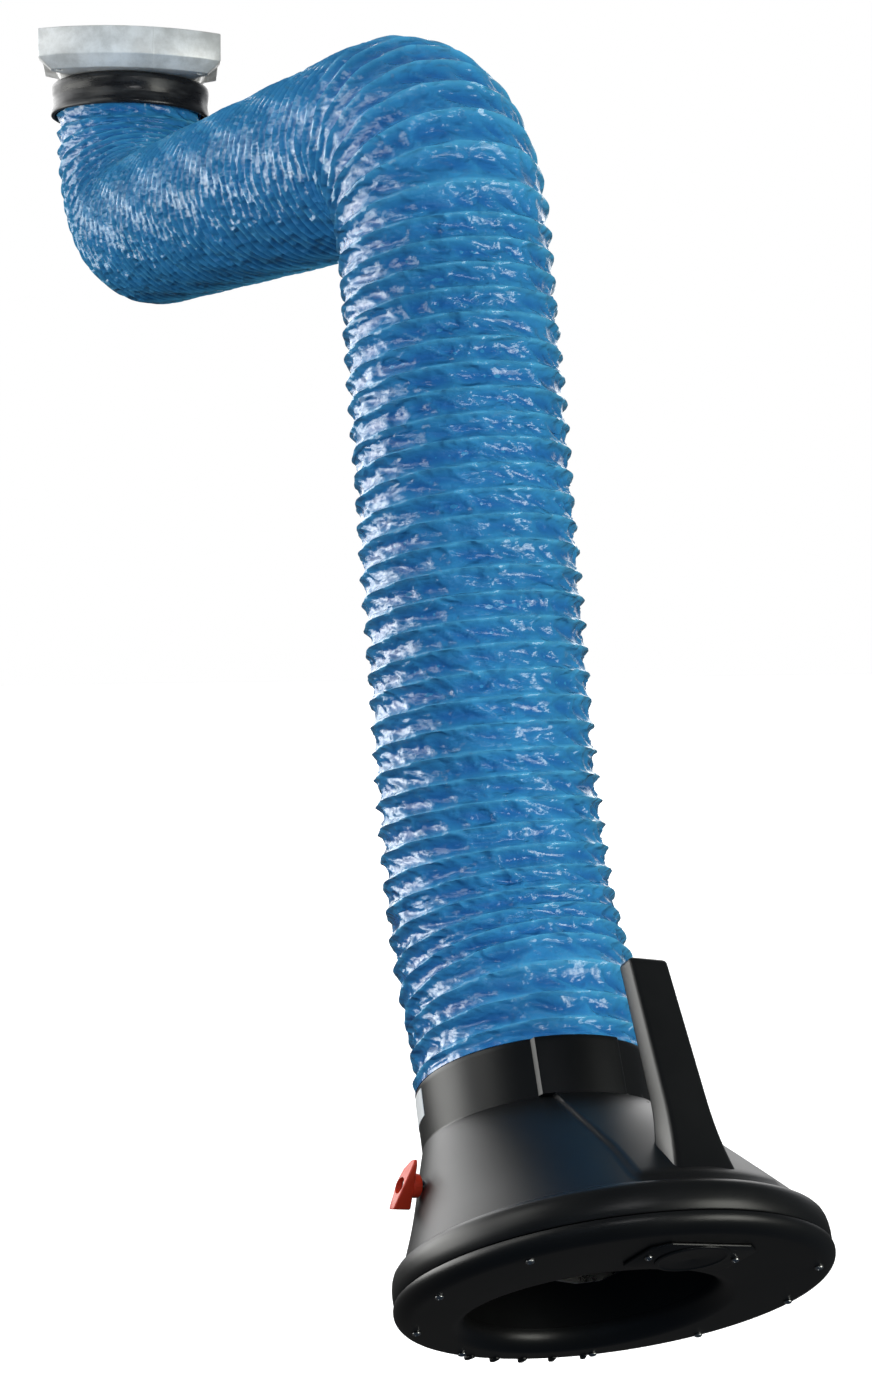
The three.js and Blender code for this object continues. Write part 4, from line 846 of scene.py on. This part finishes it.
class ARM_OT_hood_shell(bpy.types.Operator):
    """Makes the hood's neck, oblique bell and rim, with the panel over the clip and its saddle"""
    bl_idname = "arm.hood_shell"
    bl_label = "Hood shell"

    wall = 0.003
    rim_step = 0.008
    ledge = 0.020
    lean_end = 0.02
    funnel_top, funnel_end = -0.072, -0.2018
    funnel_radius = 0.078
    funnel_wall = 0.0025

    def raise_saddle(self, ring, shift, z, height):
        """Lifts the panel on the neck and the saddle that carries it on down the bell."""
        down = (BELL_TOP - z) / (BELL_TOP - BELL_END)
        left = math.radians(-30.0 if down < 0 else -24.5 + 2.5 * min(1.0, down * 1.6))
        right = math.radians(12.0 if down < 0 else 24.0)
        soft = math.radians(1.2 if down < 0 else 1.0 + 0.5 * down)
        fade = 1.0 - float(smoothstep(0.93, 1.0, down))
        for vert in ring:
            turn = math.atan2(vert.co.y, vert.co.x - shift)
            lift = smoothstep(-soft, soft, turn - left) * smoothstep(-soft, soft, right - turn)
            outward = Vector((vert.co.x - shift, vert.co.y, 0.0)).normalized()
            vert.co += outward * height * float(lift) * fade

    def execute(self, context):
        settings = context.scene.arm_hood
        neck = settings.neck_radius
        rim = settings.rim_radius
        bell_end = rim - self.rim_step
        wall = self.wall

        def bell(t, inset):
            return (BELL_SHIFT * t ** 0.9, neck + (bell_end - neck) * t - inset, BELL_TOP + (BELL_END - BELL_TOP) * t)

        steps = [0.0, 0.012, 0.03, 0.055] + [0.09 + 0.90 * i / 24 for i in range(25)] + [1.0]
        lead = [
            (0.0, SPIGOT_BORE, SPIGOT_TOP - 0.0005), (0.0, SPIGOT_BORE + 0.0006, SPIGOT_TOP),
            (0.0, SPIGOT_RADIUS - 0.0004, SPIGOT_TOP), (0.0, SPIGOT_RADIUS, SPIGOT_TOP - 0.0005),
            (0.0, SPIGOT_RADIUS, NECK_SEAT), (0.0, neck - 0.0012, NECK_SEAT),
        ]
        outer = [(0.0, neck - 0.0003, NECK_SEAT - 0.0005), (0.0, neck, NECK_SEAT - 0.0015)]
        neck_top, neck_end = NECK_SEAT - 0.004, BELL_TOP + 0.001
        outer += [(0.0, neck, neck_top + (neck_end - neck_top) * i / 8) for i in range(9)]
        outer += [bell(t, 0.0) for t in steps]
        bead = [
            (bell_end + 0.0006, -0.0002), (bell_end + 0.0028, -0.0008), (bell_end + 0.0048, -0.0020),
            (bell_end + 0.0064, -0.0040), (bell_end + 0.0075, -0.0070), (rim + 0.0001, -0.0105),
            (rim + 0.0003, -0.0145),
        ]
        edge = [
            (rim, 0.0012), (rim - 0.0006, 0.0004), (rim - 0.0016, 0.0003),
            (rim - self.ledge, 0.0003), (rim - self.ledge, wall), (rim - wall, wall),
        ]
        inner = [(BELL_SHIFT, rim - wall, BELL_END - 0.012)]
        inner += [bell(t, wall) for t in steps[::-2]]
        inner += [(0.0, neck - wall, NECK_SEAT - wall), (0.0, SPIGOT_BORE, NECK_SEAT - wall)]
        stations = lead + outer
        stations += [(BELL_SHIFT, radius, BELL_END + drop) for radius, drop in bead]
        stations += [(BELL_SHIFT, radius, RIM_END + rise) for radius, rise in edge]
        stations += inner
        bm = bmesh.new()
        rings = ring_loft(bm, stations, settings.segments)
        for ring, (shift, _, z) in list(zip(rings, stations))[len(lead):len(lead) + len(outer)]:
            self.raise_saddle(ring, shift, z, settings.saddle)
        for ring, (_, radius, z) in zip(rings, stations):
            if radius > SPIGOT_RADIUS:
                up = float(smoothstep(BELL_END + self.lean_end, BELL_TOP, z))
                lean = RIM_DRIFT + (HOSE_DRIFT - RIM_DRIFT) * up
                bmesh.ops.translate(bm, vec=(0.0, lean, 0.0), verts=ring)
        add_hood_piece("hood_bell", bm, "hood_shell")

        bm = bmesh.new()
        funnel = []
        mouth = settings.mouth_radius + self.funnel_wall
        for inset, order in ((0.0, range(9)), (self.funnel_wall, range(8, -1, -1))):
            for t in (i / 8 for i in order):
                radius = self.funnel_radius + (mouth - self.funnel_radius) * t
                z = self.funnel_top + (self.funnel_end - self.funnel_top) * t
                funnel.append((MOUTH_SHIFT * t, radius - inset, z))
        ring_loft(bm, funnel, 128)
        add_hood_piece("mouth_funnel", bm, "inner_funnel")
        return {"FINISHED"}


class ARM_OT_hood_face(bpy.types.Operator):
    """Makes the face ring with its rolled mouth, its screws, edge hooks and the lamp cover"""
    bl_idname = "arm.hood_face"
    bl_label = "Hood face"

    roll_inset, roll_width, roll_depth = 0.010, 0.011, 0.009
    lip_width, lip_depth = 0.013, 0.014
    lip_shift = 0.002
    drifting_radius = 0.105
    screw_angles = (54, 88, 124, 157)
    screw_inset = 0.012
    screw_radius = 0.0029
    hook_angles = (197.5, 188.0, 178.5, 169.0, 159.5)
    hook_size = (0.0080, 0.0042, 0.0040)
    hook_inset = 0.0072
    lamp_gap = 0.017
    lamp_half = (0.024, 0.039)
    lamp_corners = (0.005, 0.010)
    lamp_screw_place = 0.032
    lamp_screw_radius = 0.0026

    def execute(self, context):
        settings = context.scene.arm_hood
        rim = settings.rim_radius
        mouth = settings.mouth_radius
        profile = [(BELL_SHIFT, rim - 0.003, RIM_END - 0.0004), (BELL_SHIFT, rim - 0.0010, RIM_END - 0.0004)]
        for i in range(15):
            angle = math.radians(-18 + 108 * i / 14)
            radius = rim - self.roll_inset + self.roll_width * math.cos(angle)
            profile.append((BELL_SHIFT, radius, FACE + self.roll_depth - self.roll_depth * math.sin(angle)))
        profile.append((BELL_SHIFT - self.lip_shift, rim - 0.014, FACE))
        for i in range(17):
            angle = math.radians(90 * i / 16)
            shift = MOUTH_SHIFT + self.lip_shift * (1 - i / 16)
            radius = mouth + self.lip_width * (1 - math.sin(angle))
            profile.append((shift, radius, FACE + self.lip_depth * (1 - math.cos(angle))))
        profile += [
            (MOUTH_SHIFT, mouth, RIM_END + 0.002), (MOUTH_SHIFT, mouth + 0.0025, RIM_END + 0.002),
            (MOUTH_SHIFT, mouth + 0.0035, FACE + 0.012), (MOUTH_SHIFT + 0.001, mouth + 0.009, FACE + 0.0045),
            (MOUTH_SHIFT + 0.003, mouth + 0.014, FACE + 0.003), (BELL_SHIFT, rim - 0.0078, FACE + 0.003),
            (BELL_SHIFT, rim - 0.0038, FACE + 0.0055), (BELL_SHIFT, rim - 0.0025, RIM_END - 0.0039),
        ]
        bm = bmesh.new()
        for ring, (_, radius, _) in zip(ring_loft(bm, profile, 192), profile):
            if radius > self.drifting_radius:
                bmesh.ops.translate(bm, vec=(0.0, RIM_DRIFT, 0.0), verts=ring)
        add_hood_piece("hood_face", bm, "hood_face_ring")

        centre = Vector((BELL_SHIFT, RIM_DRIFT, FACE))
        angles = [math.radians(angle * side) for angle in self.screw_angles for side in (1, -1)]
        for i, angle in enumerate(angles):
            way = Vector((math.cos(angle), math.sin(angle), 0.0))
            at = centre + way * (rim - self.screw_inset)
            self.screw(f"face_screw_head_{i + 1}", at, self.screw_radius, f"face_screw_{i + 1}")
        for i, angle in enumerate(self.hook_angles):
            bm = bmesh.new()
            place = Matrix.Translation(centre) @ rotation(angle, "Z")
            block(bm, self.hook_size, place @ Matrix.Translation((rim - self.hook_inset, 0.0, 0.0004)), 0.0012)
            add_hood_piece(f"edge_hook_{i + 1}", bm, sharp=35.0)
        self.lamp_cover(MOUTH_SHIFT + mouth + self.lamp_gap + self.lamp_half[0])
        return {"FINISHED"}

    def screw(self, name, at, radius, node):
        """A pan head with a cross recess stood in for by a dished middle."""
        profile = rounded([(AXIS, 0.0), (radius, 0.0), (radius, -0.0012), (radius * 0.55, -0.0022),
                           (radius * 0.42, -0.0010), (AXIS, -0.0010)], 0.0004, 2)
        bm = turned([(max(r, AXIS), z) for r, z in profile], 24, HOOD @ Matrix.Translation(at))
        add_piece(name, bm, "zinc_steel", "hood", node, 40.0)

    def lamp_cover(self, centre):
        """The blanking plate, the disc on it and its two screws."""
        x, y = self.lamp_half
        small, large = self.lamp_corners
        outline = [(-x, small - y), (-x, y - small), (small - x, y), (x - large, y),
                   (x, y - large), (x, large - y), (x - large, -y), (small - x, -y)]
        bm = bmesh.new()
        prism(bm, outline, 0.0, -0.0016)
        round_edges(bm, 30, 0.0006, 2)
        bmesh.ops.translate(bm, vec=(centre, 0.0, FACE - 0.0002), verts=bm.verts)
        add_hood_piece("lamp_plate", bm, "lamp_cover_plate", 30.0)
        profile = [(AXIS, 0.0), (0.024, 0.0), (0.024, -0.0009), (0.0218, -0.0013), (0.0208, -0.0006), (AXIS, -0.0006)]
        bm = turned(rounded(profile, 0.0003, 2), 64, Matrix.Translation((centre, 0.0, FACE - 0.0019)))
        add_hood_piece("lamp_disc", bm, "lamp_cover_disc", 30.0)
        for name, side in (("left", 1), ("right", -1)):
            at = (centre, side * self.lamp_screw_place, FACE - 0.0018)
            self.screw(f"lamp_screw_head_{name}", at, self.lamp_screw_radius, f"lamp_screw_{name}")


class ARM_OT_handle(bpy.types.Operator):
    """Makes the hood's handle with its flared foot, and the clip under the neck panel"""
    bl_idname = "arm.handle"
    bl_label = "Handle"

    height = 0.1755
    top, waist = -0.0205, -0.151
    foot_start, foot_height = -0.118, 0.070
    # Each at the waist, and how much less it is at the top
    front = (0.1770, 0.0170)
    depth = (0.0205, 0.0045)
    half_width = (0.01695, 0.0022)
    # The clip's bar, latch and catch: size, place and edge
    clip = (
        ((0.0030, 0.0260, 0.0034), (0.0925, 0.0125, -0.0955), 0.0008),
        ((0.0042, 0.0040, 0.0085), (0.0885, -0.0085, -0.0925), 0.0011),
        ((0.0050, 0.0046, 0.0060), (0.0815, -0.0355, -0.0905), 0.0012),
    )

    def execute(self, context):
        deep, wide = 0.009, 0.0150
        height = self.height
        bm = bmesh.new()
        bmesh.ops.create_cube(bm, size=1.0, matrix=Matrix.Diagonal((2 * deep, 2 * wide, height, 1.0)))
        bevel(bm, [e for e in bm.edges if max(v.co.z for v in e.verts) > 0], 0.0034, 4)
        upright = [e for e in bm.edges if abs(e.verts[0].co.z - e.verts[1].co.z) > 0.5 * height]
        bmesh.ops.subdivide_edges(bm, edges=upright, cuts=56)
        for vert in bm.verts:
            z = self.top + vert.co.z - height / 2
            rise = (z - self.waist) / (self.top - self.waist)
            foot = max(0.0, (self.foot_start - z) / self.foot_height)
            inward = vert.co.x / deep
            across = vert.co.y / wide
            sizes = (self.front, self.depth, self.half_width)
            front, depth, half = (at_waist - less * rise for at_waist, less in sizes)
            flare = 0.003 * foot ** 3 if inward > 0 else 0.026 * foot ** 2 * inward
            vert.co = Vector((front - depth * (1 - inward) / 2 + flare, across * (half + 0.010 * foot ** 2.4), z))
        face_out(bm)
        add_hood_piece("handle_bar", bm, "hood_handle")

        bm = bmesh.new()
        lift = rotation(25, "Y")
        for size, place, edge in self.clip:
            block(bm, size, Matrix.Translation(place) @ lift, edge)
        add_hood_piece("neck_clip", bm, "neck_clip_cover")
        return {"FINISHED"}


class ARM_OT_knob(bpy.types.Operator):
    """Makes the damper knob with its screw, and the blank sticker on the neck"""
    bl_idname = "arm.knob"
    bl_label = "Knob and sticker"

    seat = 0.1142
    tilt = -18.7
    # The grip's place along its length and its thickness there, at the foot and at the top
    foot, top = (-0.0158, 0.0130), (0.0169, 0.0022)
    outline = ((-5, -15.8), (2.5, -15.8), (7.2, 0), (11, 13), (10.5, 16.9), (5, 16.5), (-2.5, 11), (-6.6, 2))
    recess_radius, recess_floor, recess_end = 0.0054, 0.0022, 0.016
    hub_radius, hub_start = 0.0080, 0.1085
    screw_radius = 0.0038
    sticker_top, sticker_end = -0.049, -0.069
    sticker_half = 0.0003
    sticker_start, sticker_turn = -127, 28

    def execute(self, context):
        seat, foot, top = self.seat, self.foot, self.top
        outward = HOOD @ Matrix.Translation(SHAFT) @ rotation(90, "X")
        bm = bmesh.new()
        ends = prism(bm, [(x * MM, z * MM) for x, z in self.outline], seat, seat + 0.001)
        for vert in bm.verts:
            rise = (vert.co.y - foot[0]) / (top[0] - foot[0])
            vert.co.z = seat + foot[1] + (top[1] - foot[1]) * rise if vert in ends else seat
        face_out(bm)
        round_edges(bm, 25, 0.0011)
        recess = turned(band(AXIS, self.recess_radius, seat + self.recess_floor, seat + self.recess_end), 32)
        bm = carved(bm, recess)
        move(bm, outward @ rotation(self.tilt, "Z"))
        add_piece("knob_grip", bm, "knob_plastic", "damper", "damper_knob")

        profile = band(AXIS, self.hub_radius, self.hub_start, seat + 0.0005)
        bm = turned(rounded(profile, 0.0006, 2), 32, outward)
        add_piece("knob_hub", bm, "knob_plastic", "damper")

        base = seat + self.recess_floor + 0.0001
        profile = [(AXIS, base), (self.screw_radius, base), (self.screw_radius, base + 0.0016),
                   (0.0024, base + 0.0024), (AXIS, base + 0.0026)]
        bm = turned(profile, 32, outward)
        add_piece("knob_screw_head", bm, "zinc_steel", "damper", "knob_screw")

        bm = bmesh.new()
        radius = context.scene.arm_hood.neck_radius
        corners = band(radius - self.sticker_half, radius + self.sticker_half, self.sticker_top, self.sticker_end)
        start = rotation(self.sticker_start, "Z")
        face = bm.faces.new([bm.verts.new(start @ Vector((r, 0.0, z))) for r, z in corners])
        bmesh.ops.spin(bm, geom=[face], cent=(0, 0, 0), axis=(0, 0, 1),
                       angle=math.radians(self.sticker_turn), steps=self.sticker_turn)
        bmesh.ops.remove_doubles(bm, verts=bm.verts, dist=MERGE)
        face_out(bm)
        move(bm, HOOD @ Matrix.Translation((0.0, HOSE_DRIFT, 0.0)))
        add_piece("blank_sticker", bm, "hood_plastic", "hood", sharp=30.0, make=blank_label)
        return {"FINISHED"}


class ARM_OT_inner_arm(bpy.types.Operator):
    """Gives the inner arm, its hinges, spring and damper their finishes"""
    bl_idname = "arm.inner_arm"
    bl_label = "Inner arm"

    def execute(self, context):
        for entry in frame["record"]["subparts"]:
            materials = frame["nodes"][entry["node"]].data.materials
            materials.clear()
            materials.append(finish(SLOTS[entry["material_slot"]]))
        return {"FINISHED"}


# The camera, and the area lights: name, place, aim, size, power, colour, and whether shiny faces mirror it
CAMERA_PLACE = (2.582, -0.680, -0.6355)
CAMERA_WAY = (-0.9248, 0.3784, -0.0398)
CAMERA_LENS = 59.1
LIGHTS = (
    ("left", (-0.40, -1.78, -0.55), (1.0, 0.0, -0.75), (2.1, 1.0), 28.0, (1.0, 1.0, 0.95), True),
    ("left_top", (0.95, -1.90, 0.55), (1.15, 0.0, -0.95), (1.0, 0.9), 7.5, (1.0, 1.0, 0.95), True),
    ("right_front", (3.12, 1.46, -0.40), (0.95, 0.0, -0.70), (1.2, 1.2), 31.0, (1.0, 1.0, 0.92), True),
    ("right_soft", (3.12, 1.46, -0.40), (0.95, 0.0, -0.70), (1.2, 1.2), 37.0, (1.0, 1.0, 0.84), False),
    ("fill", (3.45, -1.70, -0.30), (0.60, 0.0, -0.50), (1.5, 1.5), 36.0, (0.58, 0.78, 1.0), False),
    ("glint", (2.90, -0.40, 0.25), (0.95, 0.0, -0.60), (0.35, 0.35), 3.5, (1.0, 1.0, 1.0), True),
)
SUN_PLACE, SUN_AIM = (-0.9, 0.4, 3.0), (0.3, 0.0, -0.4)
SUN_POWER = 2.2
SUN_ANGLE = math.radians(40)
FLOOR_SIZE = 30.0


class ARM_OT_stage(bpy.types.Operator):
    """Sets the camera, the lights and the pale floor"""
    bl_idname = "arm.stage"
    bl_label = "Stage"

    def execute(self, context):
        scene = context.scene
        settings = scene.arm_stage
        camera = bpy.data.objects.new("camera", bpy.data.cameras.new("camera"))
        scene.collection.objects.link(camera)
        camera.location = CAMERA_PLACE
        camera.rotation_mode = "QUATERNION"
        camera.rotation_quaternion = Vector(CAMERA_WAY).to_track_quat("-Z", "Y")
        camera.data.lens = CAMERA_LENS
        camera.data.sensor_width = 36.0
        camera.data.clip_start = 0.05
        camera.data.clip_end = 200.0
        scene.camera = camera

        bm = bmesh.new()
        place = Matrix.Translation((0.0, 0.0, settings.floor))
        bmesh.ops.create_grid(bm, x_segments=1, y_segments=1, size=FLOOR_SIZE, matrix=place)
        floor = add_piece("floor", bm, None, make=pale_floor)
        floor.visible_diffuse = False
        floor.visible_glossy = False

        for name, place, aim, size, power, colour, mirrored in LIGHTS:
            data = bpy.data.lights.new(name, "AREA")
            data.shape = "RECTANGLE"
            data.size, data.size_y = size
            data.energy = power
            data.color = colour
            self.hang(scene, name, data, place, aim).visible_glossy = mirrored
        sun = bpy.data.lights.new("back_top", "SUN")
        sun.energy = SUN_POWER
        sun.angle = SUN_ANGLE
        self.hang(scene, "back_top", sun, SUN_PLACE, SUN_AIM).visible_glossy = False
        scene.world = studio_world(Shader(bpy.data.worlds.new("studio")))
        scene.view_settings.view_transform = "Standard"
        return {"FINISHED"}

    def hang(self, scene, name, data, place, aim):
        """Adds a light at its place, turned to its aim."""
        lamp = bpy.data.objects.new(name, data)
        lamp.location = place
        lamp.rotation_mode = "QUATERNION"
        lamp.rotation_quaternion = (Vector(aim) - Vector(place)).to_track_quat("-Z", "Y")
        scene.collection.objects.link(lamp)
        return lamp


class ARM_PT_panel(bpy.types.Panel):
    bl_idname = "ARM_PT_panel"
    bl_label = "Extraction arm"
    bl_space_type = "VIEW_3D"
    bl_region_type = "UI"
    bl_category = "Extraction arm"

    def draw(self, context):
        for operator in OPERATORS:
            self.layout.operator(operator.bl_idname)


OPERATORS = (
    ARM_OT_stage, ARM_OT_inner_arm, ARM_OT_hose, ARM_OT_flange, ARM_OT_collar,
    ARM_OT_hood_shell, ARM_OT_hood_face, ARM_OT_handle, ARM_OT_knob,
)
SETTINGS = {
    "arm_hose": HoseSettings,
    "arm_hood": HoodSettings,
    "arm_flange": FlangeSettings,
    "arm_stage": StageSettings,
}


def register():
    for name, group in SETTINGS.items():
        bpy.utils.register_class(group)
        setattr(bpy.types.Scene, name, bpy.props.PointerProperty(type=group))
    for operator in OPERATORS:
        bpy.utils.register_class(operator)
    bpy.utils.register_class(ARM_PT_panel)


def unregister():
    bpy.utils.unregister_class(ARM_PT_panel)
    for operator in reversed(OPERATORS):
        bpy.utils.unregister_class(operator)
    for name, group in SETTINGS.items():
        delattr(bpy.types.Scene, name)
        bpy.utils.unregister_class(group)


def main():
    register()
    bpy.ops.arm.stage()
    bpy.ops.arm.inner_arm()
    bpy.ops.arm.hose()
    bpy.ops.arm.flange()
    bpy.ops.arm.collar()
    bpy.ops.arm.hood_shell()
    bpy.ops.arm.hood_face()
    bpy.ops.arm.handle()
    bpy.ops.arm.knob()


if __name__ == "__main__":
    main()
